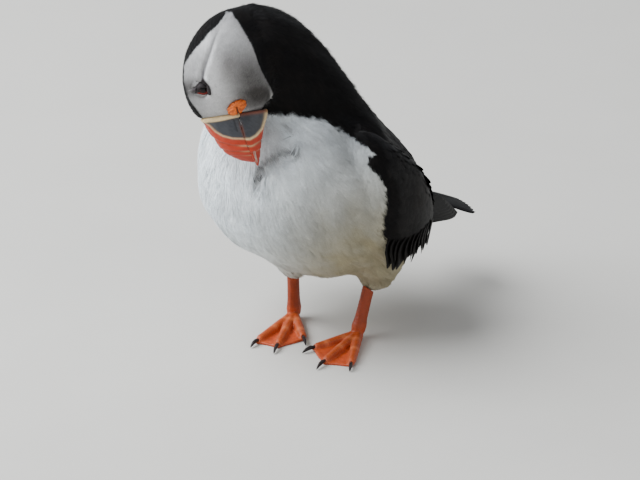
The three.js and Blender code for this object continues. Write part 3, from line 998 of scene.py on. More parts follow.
def soft_skin(tree, own, place, rough, grain, bump):
    """Bare skin, wrinkled into cells, which are drawn a little coarser than real ones to show."""
    cells = add(
        tree, "TexVoronoi", {"Vector": place, "Scale": per_metre(grain)}, feature="DISTANCE_TO_EDGE"
    )
    joints = add(tree, "MapRange", [cells, 0.0, 0.18, 0.82, 1.03])
    return add(tree, "BsdfPrincipled", {
        "Base Color": add(tree, "VectorMath", {0: own, "Scale": joints}, operation="SCALE"),
        "Normal": add(tree, "Bump", {"Height": joints, "Strength": bump, "Distance": 0.25 * MM}),
        "Roughness": rough,
    })


def eye_gloss(tree, own, place):
    """A clear wet surface over the flecks of the iris."""
    flecks = add(tree, "TexNoise", {"Vector": place, "Scale": per_metre(0.5)})
    light = add(tree, "MapRange", [flecks, 0.3, 0.7, 0.85, 1.15])
    return add(tree, "BsdfPrincipled", {
        "Base Color": add(tree, "VectorMath", {0: own, "Scale": light}, operation="SCALE"),
        "Roughness": 0.1, "IOR": 1.35, "Specular IOR Level": 0.35,
        "Coat Weight": 0.1, "Coat Roughness": 0.04,
    })


def painted_board(tree, own, place):
    """Even matt paint between two near greys."""
    mottle = add(tree, "TexNoise", {"Vector": place, "Scale": per_metre(60)})
    greys = {6: (*linear(FLOOR_GREY), 1), 7: (*linear(FLOOR_MOTTLE), 1)}
    mix = add(tree, "Mix", {0: mottle, **greys}, data_type="RGBA")
    return add(tree, "BsdfPrincipled", {"Base Color": mix.outputs[2], "Roughness": 0.9})


FINISHES = {
    # Downy under-feather: soft and lightless, so it only darkens the gaps between feathers.
    "downy_underfeather": partial(feathering, streak=1.2, bump=0.5, rough=0.95, sheen=0.1),
    # Contour-feather keratin: matt barbs with a faint silky sheen where they catch the light.
    "contour_feather_keratin": partial(
        feathering, streak=0.8, bump=0.15, rough=0.8, sheen=0.03, shine=0.12
    ),
    # Melanin-black flight and covert keratin: harder and slightly glossy along its barbs.
    "black_covert_keratin": partial(
        feathering, streak=0.7, bump=0.25, rough=0.6, sheen=0.0, shine=0.12
    ),
    # Claw keratin: dense dark horn, worn smooth to a low shine.
    "claw_keratin": partial(feathering, streak=0.5, bump=0.1, rough=0.35, sheen=0.0),
    # Bill keratin: smooth sheathing horn with a waxy shine.
    "bill_keratin": bill_horn,
    # Bare living skin: fine wrinkles break up a low, soft shine.
    "gape_flesh_skin": partial(soft_skin, rough=0.6, grain=0.9, bump=0.3),
    "eyelid_skin": partial(soft_skin, rough=0.75, grain=0.7, bump=0.2),
    "webbed_foot_skin": partial(soft_skin, rough=0.5, grain=0.75, bump=0.35),
    # Horny skin of the small plates about the eye: low and matt.
    "eye_plate_horn": partial(soft_skin, rough=0.6, grain=0.8, bump=0.25),
    # Living eye: wet clear cornea over a dark brown iris, so it gives one sharp glint.
    "wet_cornea": eye_gloss,
    # Matt painted board: a pale even ground with barely visible mottling.
    "painted_board": painted_board,
}


# ------------------------------------------------------------------ stage

CAMERA_TURN, CAMERA_RISE = 40.0, 24.0  # degrees round from straight ahead, and up
VIEW_WIDTH = 640 / 2.1  # mm across the view, at the bird
VIEW_CENTRE = (-5.24, 42.7)  # mm across and up the view, from the bird's own origin
SENSOR = 36  # mm
FLOOR_HALF = 4.0  # m, half the floor's width


def direction(turn, rise):
    """Away from the bird: turn degrees to its left from straight ahead, rise degrees up."""
    a, e = math.radians(turn), math.radians(rise)
    return Vector((math.sin(a) * math.cos(e), -math.cos(a) * math.cos(e), math.sin(e)))


def camera_target():
    """The point of the bird at the middle of the view, from the bird's own origin, in mm."""
    out = direction(CAMERA_TURN, CAMERA_RISE)
    right = Vector((0, 0, 1)).cross(out).normalized()
    up = out.cross(right)
    return right * VIEW_CENTRE[0] + up * VIEW_CENTRE[1] + out * 50


def aimed(name, data, at, target):
    """A lamp or camera at a place, turned towards the target."""
    made = bpy.data.objects.new(name, data)
    made.location = at
    made.rotation_euler = (target - at).to_track_quat("-Z", "Y").to_euler()
    bpy.context.scene.collection.objects.link(made)
    return made


def make_stage(settings):
    shape = bmesh.new()
    bmesh.ops.create_grid(shape, x_segments=1, y_segments=1, size=FLOOR_HALF)
    floor = finished("floor", shape)
    floor.data.materials.append(material("painted_board"))

    world = bpy.data.worlds.new("sky")
    bpy.context.scene.world = world
    world.use_nodes = True
    sky = world.node_tree.nodes["Background"]
    sky.inputs["Color"].default_value = (*linear(SKY_PALE), 1)
    sky.inputs["Strength"].default_value = settings.sky_light

    target = Vector(STAND_AT * MM) + camera_target() * MM
    # turn and rise in degrees, then how far away and how wide each lamp is, in metres
    for name, turn, rise, away, size, watts, colour in (
        ("key", -52, 50, 1.4, 1.5, settings.key_light, KEY_COOL),
        ("fill", 95, 25, 1.5, 1.2, settings.key_light * 0.05, FILL_WARM),
    ):
        lamp = bpy.data.lights.new(name, "AREA")
        lamp.shape = "DISK"
        lamp.size = size
        lamp.energy = watts
        lamp.color = linear(colour)
        aimed(name, lamp, target + direction(turn, rise) * away, target)

    lens = bpy.data.cameras.new("camera")
    lens.sensor_width = SENSOR
    lens.lens = SENSOR * settings.camera_distance / (VIEW_WIDTH * MM)
    lens.clip_end = 40
    at = target + direction(CAMERA_TURN, CAMERA_RISE) * settings.camera_distance
    bpy.context.scene.camera = aimed("camera", lens, at, target)


# ------------------------------------------------------------------ plumage pieces

VANE = blade(4, 6, lambda s: 0 if s >= 1 else min(1, 0.5 + 1.3 * s) * math.sqrt(
    1 - max(0, (s - 0.5) / 0.5) ** 2.4))
QUILL = blade(4, 14, lambda s: 0 if s >= 1 else min(1, 0.5 + 3 * s) * math.sqrt(
    1 - max(0, (s - 0.72) / 0.28) ** 2.2))
LOOSE_BLADE = blade(2, 10, lambda s: 0 if s >= 1 else min(1, 0.4 + 2 * s) * (1 - s) ** 0.6)

# Loose curved feathers over the ruffled down: root and tip as x and z on the breast.
LOOSE = (
    ((11.6, 115.5), (10.9, 108.0)), ((13.4, 114.0), (12.9, 107.0)), ((9.2, 117.5), (6.4, 115.2)),
)
LOOSE_HALF = 0.42  # mm, half their width
# A wisp of down caught on the bill's tip, from its root to its tip, from between the eyes.
WISP = np.array([[33.0, 3.9, -20.4], [38.8, 3.4, -20.9]])
WISP_HAIRS, WISP_HALF = 5, 0.12  # how many, and half their width
FLIGHT_FEATHERS, HEM_FEATHERS = 9, 12  # in each wing


def vane_shade(u, s):
    """A feather is painted darker under its neighbours, as shade, and paler along its worn edge and
    shaft.
    """
    edge = np.maximum(np.abs(u), ramp(s, 0.75, 1.0))
    return 0.8 + 0.1 * s + 0.35 * ramp(edge, 0.75, 1.0) + 0.15 * (np.abs(u) < 0.05)


def make_coat(settings):
    zone = zones()
    full = settings.density * 1
    ahead = lambda at: in_head(at)[:, 0]
    # short feathers keep the edge of the pale face crisp
    by_edge = lambda at: 0.45 + 0.55 * ramp(np.abs(paleness(at)), 0.3, 3)
    by_eye = lambda at: 0.35 + 0.65 * ramp(-inside(in_head(at)[:, [0, 2]], EYE_PATCH), 0.2, 2.5)
    by_border = lambda at: 0.5 + 0.5 * ramp(np.abs(blackness(at)), 0.5, 5)
    tufts(
        "coat_face", zone["face"] * 5.0 * full, SEED,
        lambda at, head: settings.face_length * (0.75 + 0.35 * ramp(ahead(at), 6, -20))
        * by_edge(at) * by_eye(at) * (0.4 + 0.6 * head),
        lambda at, head: np.full(len(at), 0.2),
        strands=3, half=0.1, fan=0.2, wander=0.06, gather=0, swirl=0.05, kind=FACE_STRAND,
    )
    make_loose(np.random.default_rng(SEED + 9))
    tufts(
        "coat_crown", zone["crown"] * 2.6 * full, SEED + 1,
        lambda at, head: settings.face_length * (1.0 + 0.7 * ramp(ahead(at), 6, -24)) * by_edge(at),
        lambda at, head: 0.25 + 0.3 * ramp(ahead(at), 0, -30),
        strands=4, half=0.11, fan=0.2, wander=0.1, gather=0.1, swirl=0.05,
    )
    tufts(
        "coat_collar", zone["collar"] * 1.7 * full, SEED + 2,
        lambda at, head: settings.neck_length * by_border(at) * (1 - 0.5 * head),
        lambda at, head: 0.6 + 0.8 * ramp(at[:, 2], 100, 130) * ramp(at[:, 1], -45, -20),
        strands=5, half=0.15, fan=0.18, wander=0.1, gather=0.25,
    )
    tufts(
        "coat_white", zone["white"] * 0.9 * full, SEED + 3,
        lambda at, head: settings.breast_length * (0.55 + 0.45 * ramp(at[:, 2], 22, 52))
        * by_border(at) * (1 - 0.7 * breast_folds(at, head)[1]),
        lambda at, head: 0.5 + 0.15 * ripple(at, 16, 21),
        strands=7, half=0.2, fan=0.17, wander=0.06, gather=0.3,
    )


def make_loose(rng):
    """Separate curved feathers that stand out where the breast is ruffled, and the wisp."""
    ends = np.array(LOOSE)
    count = len(ends)
    spots = np.concatenate([ends[:, 0], ends[:, 1]])
    at = np.stack([spots[:, 0], np.full(len(spots), -60.0), spots[:, 1]], 1) + STAND_AT
    # the breast is found straight behind each place, a step at a time
    for _ in range(6):
        near, normal = on_surface(at)
        at[:, 1] = near[:, 1]
    wisp = from_head(WISP)
    several = (WISP_HAIRS, 3)
    roots = np.concatenate([near[:count], wisp[:1] + rng.normal(size=several) * 0.2])
    tips = near[count:] + normal[count:] * 1.1
    mids = (roots[:count] + tips) / 2 + normal[:count] * 2.4 + np.array([1.8, 0, 0])
    tips = np.concatenate([tips, wisp[1:] + rng.normal(size=several) * 0.5])
    mids = np.concatenate([mids, (roots[count:] + tips[count:]) / 2 + HEAD_LEFT * 0.6])
    face = np.concatenate([normal[:count], np.tile(HEAD_LEFT, (WISP_HAIRS, 1))])
    half = np.concatenate([np.full(count, LOOSE_HALF), np.full(WISP_HAIRS, WISP_HALF)])
    colours = np.concatenate([layers(count, LOOSE_GREY), layers(WISP_HAIRS, WISP_BEIGE)])
    piece = blades(
        "loose_feathers", LOOSE_BLADE, roots, mids, tips, unit(np.cross(face, tips - roots)),
        half, colours, coat_map(roots, np.zeros(len(roots))), cup=0.1,
    )
    thicken(piece, 0.12)
    dress(piece, "contour_feather_keratin")


def lay_vanes(name, density, spacing, length, half, seed):
    """Rows of rounded covert feathers that overlap like tiles."""
    at, normal, _, wing, rng = scatter(density, seed)
    order = np.argsort(rng.random(len(at)))
    at, normal, wing = at[order], normal[order], wing[order]
    keep = thinned(at, spacing(at, wing))
    at, normal, wing = at[keep], normal[keep], wing[keep]
    count = len(at)
    way, side = lying(at, normal, np.zeros(count))
    turned = 0.06 * rng.normal(size=(count, 1)) + 0.08 * ripple(at, 25, seed)[:, None]
    way = unit(way + side * turned)
    side = np.cross(normal, way)
    reach = length(at, wing) * rng.uniform(0.9, 1.15, count)
    far, far_normal = on_surface(at + way * reach[:, None])
    half_way, half_normal = on_surface(at + way * reach[:, None] * 0.5)
    high = COVERT_LIFT * rng.uniform(0.8, 1.3, count)
    tip = far + far_normal * high[:, None]
    mid = half_way + half_normal * (high * 1.2)[:, None]
    dark = layers(count, SOOT, (SOOT_BROWN, np.clip(0.35 + 0.4 * ripple(at, 12, 3), 0, 1)))
    dark = dark * (1 + 0.15 * rng.normal(size=(count, 1)))
    side = unit(side + 0.06 * normal * rng.normal(size=(count, 1)))
    piece = blades(
        name, VANE, at - normal * COVERT_ROOT, mid, tip, side, half(at, wing), dark,
        coat_map(at, np.zeros(count)), cup=0.35, shade=vane_shade,
    )
    dress(piece, "black_covert_keratin")


def folded(name, node, rows, side, lift, half, colours, cup, thickness):
    """The feathers of a wing or the tail, from rows of roots and tips, in place of a node."""
    root, tip = (np.array([row[end] for row in rows]) for end in (0, 1))
    piece = blades(
        name, QUILL, root, (root + tip) / 2 + lift, tip, side, half, colours,
        coat_map(root, np.zeros(len(root))), cup=cup, shade=vane_shade,
    )
    thicken(piece, thickness)
    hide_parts(node)
    dress(piece, "black_covert_keratin")


def make_wings(settings):
    grow = lambda at, wing: 0.7 + 0.3 * ramp(at[:, 1], -10, 30) + 0.2 * ramp(wing, 0.3, 0.9)
    lay_vanes(
        "coverts", zones()["back"] * 0.9, lambda at, wing: 2.7 * grow(at, wing),
        lambda at, wing: settings.covert_length * grow(at, wing),
        lambda at, wing: 3.4 * grow(at, wing), SEED + 7,
    )
    for side_name, sign in SIDES:
        low, high = (np.array(c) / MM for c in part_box("flight_" + side_name))
        turn = middle("wing_" + side_name)[0]
        outer = low[0] if sign > 0 else high[0]
        rows = []
        for t in np.arange(FLIGHT_FEATHERS) / (FLIGHT_FEATHERS - 1):
            # from the short inner feathers on top to the long outer one below
            root = [turn + sign * (2 - 3 * t), high[1] - 62 + 14 * t, 72 - 16 * t]
            back = low[1] + 14 + (high[1] - low[1] - 15) * t**0.8
            tip = [outer + sign * (5.5 - 4.5 * t), back, 56 - 15.5 * t]
            rows.append((root, tip, 3.4 - 0.6 * t))
        # feathers of the wing's hem hang past it on the flank, no two quite alike
        for i in range(HEM_FEATHERS):
            t = i / (HEM_FEATHERS - 1)
            near = [[sign * 53, -15 + 43 * t, 58 - 7 * t],
                    [sign * (47 - 6 * t), -7 + 45 * t, 38 + 2 * t]]
            at, normal = on_surface(np.array(near, float))
            drop = np.array([0, 1.5 * math.sin(i * 1.7), -2.0 * math.sin(i * 2.4)])
            rows.append((at[0] + normal[0] * 1.2, at[1] + normal[1] * 1.1 + drop, 5.6))
        hem = (np.arange(len(rows)) >= FLIGHT_FEATHERS)[:, None]
        face = np.tile(unit([sign, 0.1, 0.3]), (len(rows), 1))
        across = unit(np.cross(face, np.array([row[1] for row in rows]) - [row[0] for row in rows]))
        folded(
            "flight_feathers_" + side_name, "flight_" + side_name, rows,
            # each feather of the hem lies with one edge under the next
            side=unit(across + face * np.where(hem, 0.1, 0)),
            lift=face * np.where(hem, 1.8, 2.2),
            half=np.array([row[2] for row in rows]),
            colours=np.where(hem, tone(SOOT_BROWN) * 0.75, tone(SOOT) * 0.9),
            cup=np.where(hem, 0.05, 0.35), thickness=0.22,
        )


def make_tail(settings):
    low, high = (np.array(c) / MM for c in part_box("tail"))
    centre, wide = (low[0] + high[0]) / 2, (high[0] - low[0]) / 2
    spread = 2 * np.arange(settings.tail_feathers) / (settings.tail_feathers - 1) - 1
    rows = [
        ([centre + 5 * k, low[1] - 4, high[2] + 1 - 1.5 * abs(k)],
         [centre + (wide - 3) * k, high[1] - 0.6 - 5 * k * k, low[2] + 2.2 - 1.2 * abs(k)])
        for k in spread
    ]
    folded(
        "tail_feathers", "tail", rows,
        side=unit(np.stack([-np.ones(len(rows)), 0.25 * spread, 0.28 * spread], 1)),
        lift=np.array([0, 0, 1.6]), half=np.full(len(rows), 3.6),
        colours=layers(len(rows), SOOT), cup=0.4, thickness=0.3,
    )


# ------------------------------------------------------------------ bill

# The blue-grey plate of both mandibles, ahead of the eyes and towards the crown.
PLATE = np.array(
    [
        [10, 3.8], [14.4, 2.6], [17.9, -0.6], [21.5, -3.4], [24, -6.4], [25.9, -11],
        [26.9, -16.6], [27.3, -19.4], [26, -22.4], [23, -25.6], [18.4, -27.9], [14.2, -29.2],
        [10, -30.2],
    ]
)
MOUTH_LINE = np.array([[10, -15], [14.5, -14.8], [26.9, -16.8], [33.1, -18.2], [41, -21]])
NOSTRIL = np.array([[17, -12.9], [22.5, -13.8]])
GROOVES = ((-3.1, 1.0), (-6.2, 0.9), (-9.0, 0.5))  # mm outside the plate, and how strong
GROOVED_FROM = 17  # mm ahead of the eyes


def make_bill(settings):
    red = np.array(settings.bill_red)
    for part in ("upper", "lower"):
        piece = remade("horn_" + part, ["bill_" + part], voxel=0.34, rounds=22, grow=0.2)
        p, n = points_of(piece), normals_of(piece)
        f, _, h = in_head(p).T
        flat = np.stack([f, h], 1)
        upper = part == "upper"
        into = inside(flat, PLATE)
        from_mouth = from_line(flat, MOUTH_LINE)
        ridge = bell(into - 0.3, 0.42 if upper else 0.55 + 0.6 * ramp(f, 21, 12))
        rise = 0.35 * ridge
        pale = tone(CREAM) * (1 - 0.3 * upper) + red * 0.3 * upper
        coats = [
            (layers(len(p), red, (BILL_TIP_RED, ramp(f, 28, 40) * 0.7)), ramp(into, 0.3, -0.3)),
            (pale, np.clip(ridge * (1.0 - 0.25 * ramp(h, -8, 0)), 0, 1)),
        ]
        # grooves run side by side with the ridge over the red
        for depth, strength in GROOVES:
            groove = bell(into - depth, 0.42) * (f > GROOVED_FROM)
            lip = bell(into - depth - 0.75, 0.45) * (f > GROOVED_FROM)
            rise = rise - 0.32 * strength * groove + 0.12 * strength * lip
            near = bell(from_mouth, 3.4 if upper else 5.5)
            coats.append((BILL_BROWN, groove * strength * 0.35 * (1 - near)))
            near = near * (1 if upper else ramp(f, 34, 30))
            coats.append((CREAM, groove * strength * 0.8 * near))
        if upper:
            # the cere: a thick pale roll along the face
            base = f - BILL_BASE - 0.4 * np.cos((h + 6) / 9)
            roll = bell(base - 0.9, 0.9 + 0.6 * bell(h + 5, 6))
            slit = bell(from_line(flat, NOSTRIL), 0.5)
            rise = rise + 0.75 * roll - 0.3 * slit
            coats.append((tone(CREAM) * 1.04, ramp(roll, 0.25, 0.6)))
            coats.append((CHIN_GREY_AND_SHADE, bell(base - 2.5, 0.4) * 0.55))
            coats.append((PUPIL, slit * 0.45))
        else:
            rim = bell(f - BILL_BASE - 0.8, 0.9)
            rise = rise + 0.2 * rim
            coats.append((BILL_BROWN, rim * 0.75))
        # brown horn along the mouth, and painted shade where the mandibles meet near the gape
        edge = bell(from_mouth, 0.8) * ramp(f, 14, 18)
        coats.append((BILL_BROWN, edge * 0.75 * ramp(f, 17, 22)))
        coats.append((CHIN_GREY_AND_SHADE, edge * 0.5 * ramp(f, 22, 17)))
        grain = ripple(p, 1.6, 31)
        shade = 1 + 0.05 * grain + 0.04 * ripple(p, 5, 32)
        # the edges close on each other ahead of the gape
        close = 0.85 * ramp(f, 16, 36) * bell(from_mouth, 2.5) * (-1 if upper else 1)
        p = p + close[:, None] * HEAD_UP
        # the lower tip reaches past the upper one
        p = p + (ramp(f, 30, 41) * (-2.4 if upper else 1.8))[:, None] * HEAD_AHEAD
        move_points(piece, p + n * (rise + 0.03 * grain)[:, None])
        colour_over(piece, layers(len(p), PLATE_BLUE, *coats) * shade[:, None])
        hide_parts("bill_" + part)
        dress(piece, "bill_keratin")


# ------------------------------------------------------------------ gape

GAPE_SPLIT = np.array([[0.5, 0], [4, -0.6]])  # ahead and up from the rosette's middle


def make_gape(settings):
    slope = math.radians(28)
    for side_name, _ in SIDES:
        node = "gape_" + side_name
        piece = remade("rosette_" + side_name, [node], voxel=0.24, rounds=10, grow=0.25)
        p, n = points_of(piece), normals_of(piece)
        f, _, h = (in_head(p) - in_head(middle(node))).T
        # along the rosette, flattened, and across it
        a = (f * math.sin(slope) + h * math.cos(slope)) * 0.6
        b = f * math.cos(slope) - h * math.sin(slope)
        away = np.hypot(a, b)
        folds = np.cos(np.arctan2(a, b) * settings.rosette_folds + 2.2 * ripple(p, 5, 41))
        folds = folds * ramp(away, 0.4, 1.8)
        split = bell(from_line(np.stack([f, h], 1), GAPE_SPLIT), 0.45)
        rise = 0.13 * folds - 0.7 * split - 0.35 * bell(away, 0.9)
        # deeper orange, painted darker in the troughs of the folds as shade, and painted shade in
        # the split
        colour = layers(
            len(p), settings.rosette_orange,
            (ROSETTE_DEEP_AND_SHADE, np.clip(0.3 - 0.5 * folds, 0, 1)),
            (EYE_SKIN, split * 0.85),
        )
        move_points(piece, p + n * rise[:, None])
        colour_over(piece, colour * (1 + 0.06 * ripple(p, 1.2, 42))[:, None])
        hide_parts(node)
        dress(piece, "gape_flesh_skin")


# ------------------------------------------------------------------ eyes


GAZE = np.array([0.3, 1.0, -0.08])  # ahead, out and up, before it is made a unit step
LID_OPENING = np.array([[1.85, -0.35], [1.05, 2.1]])  # its middle and half sizes: ahead, up
LID_REACH = 4.0  # mm from the eye's middle to the lids' outer edge
# How far the lids stand off the eye, in mm, by share of the way from the opening outwards.
LID_LIFT = np.array([[0, 0.08, 0.16, 0.3, 1], [-0.25, 0.28, 0.42, 0.3, 0.1]])


def make_eyes():
    for side_name, sign in SIDES:
        centre = eye_centre(side_name)
        axis = HEAD_LEFT * sign
        gaze = unit(HEAD_AHEAD * GAZE[0] + axis * GAZE[1] + HEAD_UP * GAZE[2])
        shape = bmesh.new()
        bmesh.ops.create_uvsphere(shape, u_segments=48, v_segments=40, radius=EYE_RADIUS * MM)
        turn = Vector(gaze).to_track_quat("Z", "Y").to_matrix()
        bmesh.ops.rotate(shape, verts=shape.verts, matrix=turn)
        bmesh.ops.translate(shape, verts=shape.verts, vec=Vector(centre * MM))
        piece = finished("eyeball_" + side_name, shape)
        p, n = points_of(piece), normals_of(piece)
        angle = np.degrees(np.arccos(np.clip(unit(p - centre) @ gaze, -1, 1)))
        colour = layers(len(p), EYE_SKIN, (IRIS, ramp(angle, 50, 46)))
        colour = colour * (1 + 0.15 * ripple(unit(p - centre) * 10, 3, 51))[:, None]
        move_points(piece, p + n * (0.15 * ramp(angle, 46, 20))[:, None])
        colour_over(piece, blend_in(colour, tone(PUPIL), ramp(angle, 17, 14)))
        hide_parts("eye_" + side_name)
        dress(piece, "wet_cornea")
        make_lids(side_name, centre, axis)

        for part in ("brow", "lid"):
            node = f"eye_{part}_{side_name}"
            plate = remade(f"{part}_plate_{side_name}", [node], voxel=0.16, rounds=8, grow=0.05)
            p = points_of(plate)
            f, _, h = in_head(p).T
            if part == "brow":
                # the brow's plate is low and long, the lid's lies close under the eye
                p = p + ((1.5 - f) * 0.45)[:, None] * HEAD_AHEAD - (h - 2.8)[:, None] * axis * 0.8
            else:
                p = p + HEAD_UP * 1.1 - axis * 0.5
            move_points(plate, p)
            colour_over(plate, layers(
                len(p), EYE_SKIN,
                (LID_GREY, np.clip(0.4 + 0.4 * ripple(p, 2, 52), 0, 1)),
                (PLATE_PALE, ramp(h, 4.2, 6.6) * 0.8),
            ))
            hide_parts(node)
            dress(plate, "eye_plate_horn")


def make_lids(side_name, centre, axis):
    """Bare wrinkled lids over the eye, open over its fore part, with a red fore rim."""
    shape = bmesh.new()
    bmesh.ops.create_grid(shape, x_segments=64, y_segments=12, size=1)
    (ahead, up), (long, high) = LID_OPENING
    for v in shape.verts:
        turn, t = v.co.x * math.pi, (v.co.y + 1) / 2
        way = np.array([math.cos(turn), math.sin(turn)])
        # the corners of the opening are drawn out
        near = np.array([ahead, up]) + way * [long * abs(way[0]) ** 0.25, high]
        f, h = near + (way * LID_REACH - near) * t
        out = math.sqrt(EYE_RADIUS**2 - f * f - h * h)
        lift = float(np.interp(t, *LID_LIFT)) + 0.05 * math.cos(t * 22) * (t > 0.2)
        step = unit(HEAD_AHEAD * f + HEAD_UP * h + axis * out) * (EYE_RADIUS + lift)
        v.co = Vector((centre + step) * MM)
    bmesh.ops.remove_doubles(shape, verts=shape.verts, dist=1e-6)
    bmesh.ops.recalc_face_normals(shape, faces=shape.faces)
    if sum(f.normal.dot(Vector(axis)) for f in shape.faces) < 0:
        bmesh.ops.reverse_faces(shape, faces=shape.faces)
    lids = finished("eyelids_" + side_name, shape)
    p = points_of(lids)
    f, _, h = in_head(p).T
    edge = np.hypot((f - ahead) / long, (h - up) / high)
    # painted shade: the red rim is painted red only at the opening's fore edge, and left dark
    # behind it
    colour = layers(
        len(p), EYE_SKIN,
        (LID_GREY, ramp(f, 0, -3) * 0.5),
        (RIM_RED, ramp(edge, 1.6, 1.25) * ramp(f, 1.6, 2.2)),
    )
    colour_over(lids, colour * (1 + 0.12 * ripple(p, 1.2, 53))[:, None])
    dress(lids, "eyelid_skin")


# ------------------------------------------------------------------ feet

TOES = ("inner", "middle", "outer")


def stand(piece, points):
    """Moves the piece's points, none of them below the floor."""
    points[:, 2] = np.maximum(points[:, 2], 0.02)
    move_points(piece, points)
    return points


def make_legs(settings):
    for side_name, _ in SIDES:
        nodes = ["foot_" + side_name, "shank_" + side_name]
        piece = remade("leg_" + side_name, nodes, voxel=0.38, rounds=12, grow=0.3)
        p, n = points_of(piece), normals_of(piece)
        shank = np.array([v.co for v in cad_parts[nodes[1]].data.vertices]) / MM
        ankle = shank[shank[:, 2] < 8].mean(0)
        leg_way = unit(shank[shank[:, 2] > 20].mean(0) - ankle)
        out = p[:, :2] - ankle[:2]
        away, along = np.full(len(p), 99.0), np.zeros(len(p))
        for toe in TOES:
            tip = middle(f"claw_{toe}_{side_name}")[:2]
            d = from_line(p[:, :2], np.array([ankle[:2], tip]))
            along = np.where(d < away, out @ unit(tip - ankle[:2]), along)
            away = np.minimum(away, d)
        on_toe = ramp(away, 3.0, 1.6) * ramp(n[:, 2], -0.2, 0.3)
        on_shank = ramp(p[:, 2], 6.5, 9)
        web = (1 - on_toe) * (1 - on_shank)
        pitch = np.where(on_shank > 0.5, (p - ankle) @ leg_way, along) / settings.scute
        scutes = np.abs(np.sin(math.pi * (pitch + 0.12 * ripple(p, 3, 61))))
        fold = np.sin(math.pi * np.arctan2(*out.T) / math.radians(7.5))
        rise = 0.16 * (scutes**0.6 - 0.6) * np.maximum(on_toe, on_shank * 0.7)
        rise = rise + web * (0.07 * fold + 0.06 * ripple(p, 3, 62))
        knuckle = bell(along - 9, 1.6) + bell(along - 19, 1.6)
        # painted shade: the soles are painted darker where they face the floor
        colour = layers(
            len(p), settings.web_red,
            (TOE_ORANGE, on_toe * 0.85),
            (SHANK_ORANGE, on_shank),
            (JOINT_RUST, (1 - scutes) ** 3 * np.maximum(on_toe, on_shank) * 0.5),
            (KNUCKLE_PEACH, np.clip(knuckle * on_toe * 0.35, 0, 1)),
            (SOLE_BROWN_AND_SHADE, ramp(n[:, 2], -0.3, -0.8) * ramp(p[:, 2], 3, 1) * 0.7),
            (FLECK_CREAM, ramp(ripple(p, 1.5, 63), 2.1, 2.5) * web * 0.7),
        )
        colour = colour * (1 + 0.08 * ripple(p, 4, 64) + 0.04 * fold * web)[:, None]
        stand(piece, p + n * rise[:, None])
        colour_over(piece, colour)
        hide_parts(*nodes)
        dress(piece, "webbed_foot_skin")
        for toe in TOES:
            node = f"claw_{toe}_{side_name}"
            nail = remade(f"nail_{toe}_{side_name}", [node], voxel=0.16, rounds=6, grow=0.12)
            # worn thinner than its solid
            p = stand(nail, points_of(nail) - normals_of(nail) * 0.22)
            colour = layers(len(p), CLAW_BLACK)
            colour_over(nail, colour * (1 + 0.15 * ripple(p, 1.6, 65))[:, None])
            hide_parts(node)
            dress(nail, "claw_keratin")


# ------------------------------------------------------------------ the add-on


class PuffinPlumage(bpy.types.PropertyGroup):
    breast_length: bpy.props.FloatProperty(
        name="Breast feather length", description="Showing length of the breast feathers, mm",
        default=9.5, min=3, max=20,
    )
    neck_length: bpy.props.FloatProperty(
        name="Neck feather length", description="Showing length of the collar's feathers, mm",
        default=5.5, min=2, max=12,
    )
    face_length: bpy.props.FloatProperty(
        name="Face feather length", description="Showing length of the face feathers, mm",
        default=2.3, min=1, max=5,
    )
    covert_length: bpy.props.FloatProperty(
        name="Covert length", description="Showing length of the wing coverts, mm",
        default=10.0, min=5, max=20,
    )
    density: bpy.props.FloatProperty(
        name="Fullness", description="Share of the full number of feathers",
        default=1.0, min=0.1, max=1.2, subtype="FACTOR",
    )
    tail_feathers: bpy.props.IntProperty(
        name="Tail feathers", description="How many feathers the tail fans out",
        default=14, min=8, max=18,
    )


class PuffinBareParts(bpy.types.PropertyGroup):
    bill_red: bpy.props.FloatVectorProperty(
        name="Bill red", description="Colour of the bill's outer half",
        default=linear(BILL_RED), min=0, max=1, subtype="COLOR",
    )
    rosette_orange: bpy.props.FloatVectorProperty(
        name="Rosette orange", description="Colour of the skin at the corner of the mouth",
        default=linear(ROSETTE), min=0, max=1, subtype="COLOR",
    )
    web_red: bpy.props.FloatVectorProperty(
        name="Web red", description="Colour of the webs between the toes",
        default=linear(WEB_RED), min=0, max=1, subtype="COLOR",
    )
    rosette_folds: bpy.props.IntProperty(
        name="Rosette folds", description="Folds in the bare skin at the corner of the mouth",
        default=9, min=4, max=16,
    )
    scute: bpy.props.FloatProperty(
        name="Scute pitch", description="Spacing of the scales along toes and shanks, mm",
        default=1.5, min=0.8, max=3,
    )


class PuffinStage(bpy.types.PropertyGroup):
    key_light: bpy.props.FloatProperty(
        name="Key light", description="Strength of the soft light from the upper left",
        default=54.0, min=1, max=200, subtype="POWER", unit="POWER",
    )
    sky_light: bpy.props.FloatProperty(
        name="Sky light", description="Strength of the even light all round",
        default=0.6, min=0, max=3,
    )
    camera_distance: bpy.props.FloatProperty(
        name="Camera distance", description="From the camera to the bird",
        default=9.0, min=1, max=12, subtype="DISTANCE", unit="LENGTH",
    )


class PuffinStep(bpy.types.Operator):
    """One group of the bird's pieces."""

    bl_options = {"REGISTER", "UNDO"}


class PUFFIN_OT_skin(PuffinStep):
    """Grows one skin over the body, neck, head, thighs and wings"""

    bl_idname = "puffin.skin"
    bl_label = "Skin"

    def execute(self, context):
        make_skin()
        return {"FINISHED"}


class PUFFIN_OT_coat(PuffinStep):
    """Covers the skin with tufts of contour feathers"""

    bl_idname = "puffin.coat"
    bl_label = "Contour feathers"

    def execute(self, context):
        make_coat(context.scene.puffin_plumage)
        return {"FINISHED"}


class PUFFIN_OT_wings(PuffinStep):
    """Lays the coverts over the back and wings, and folds the flight feathers"""

    bl_idname = "puffin.wings"
    bl_label = "Wings and back"

    def execute(self, context):
        make_wings(context.scene.puffin_plumage)
        return {"FINISHED"}


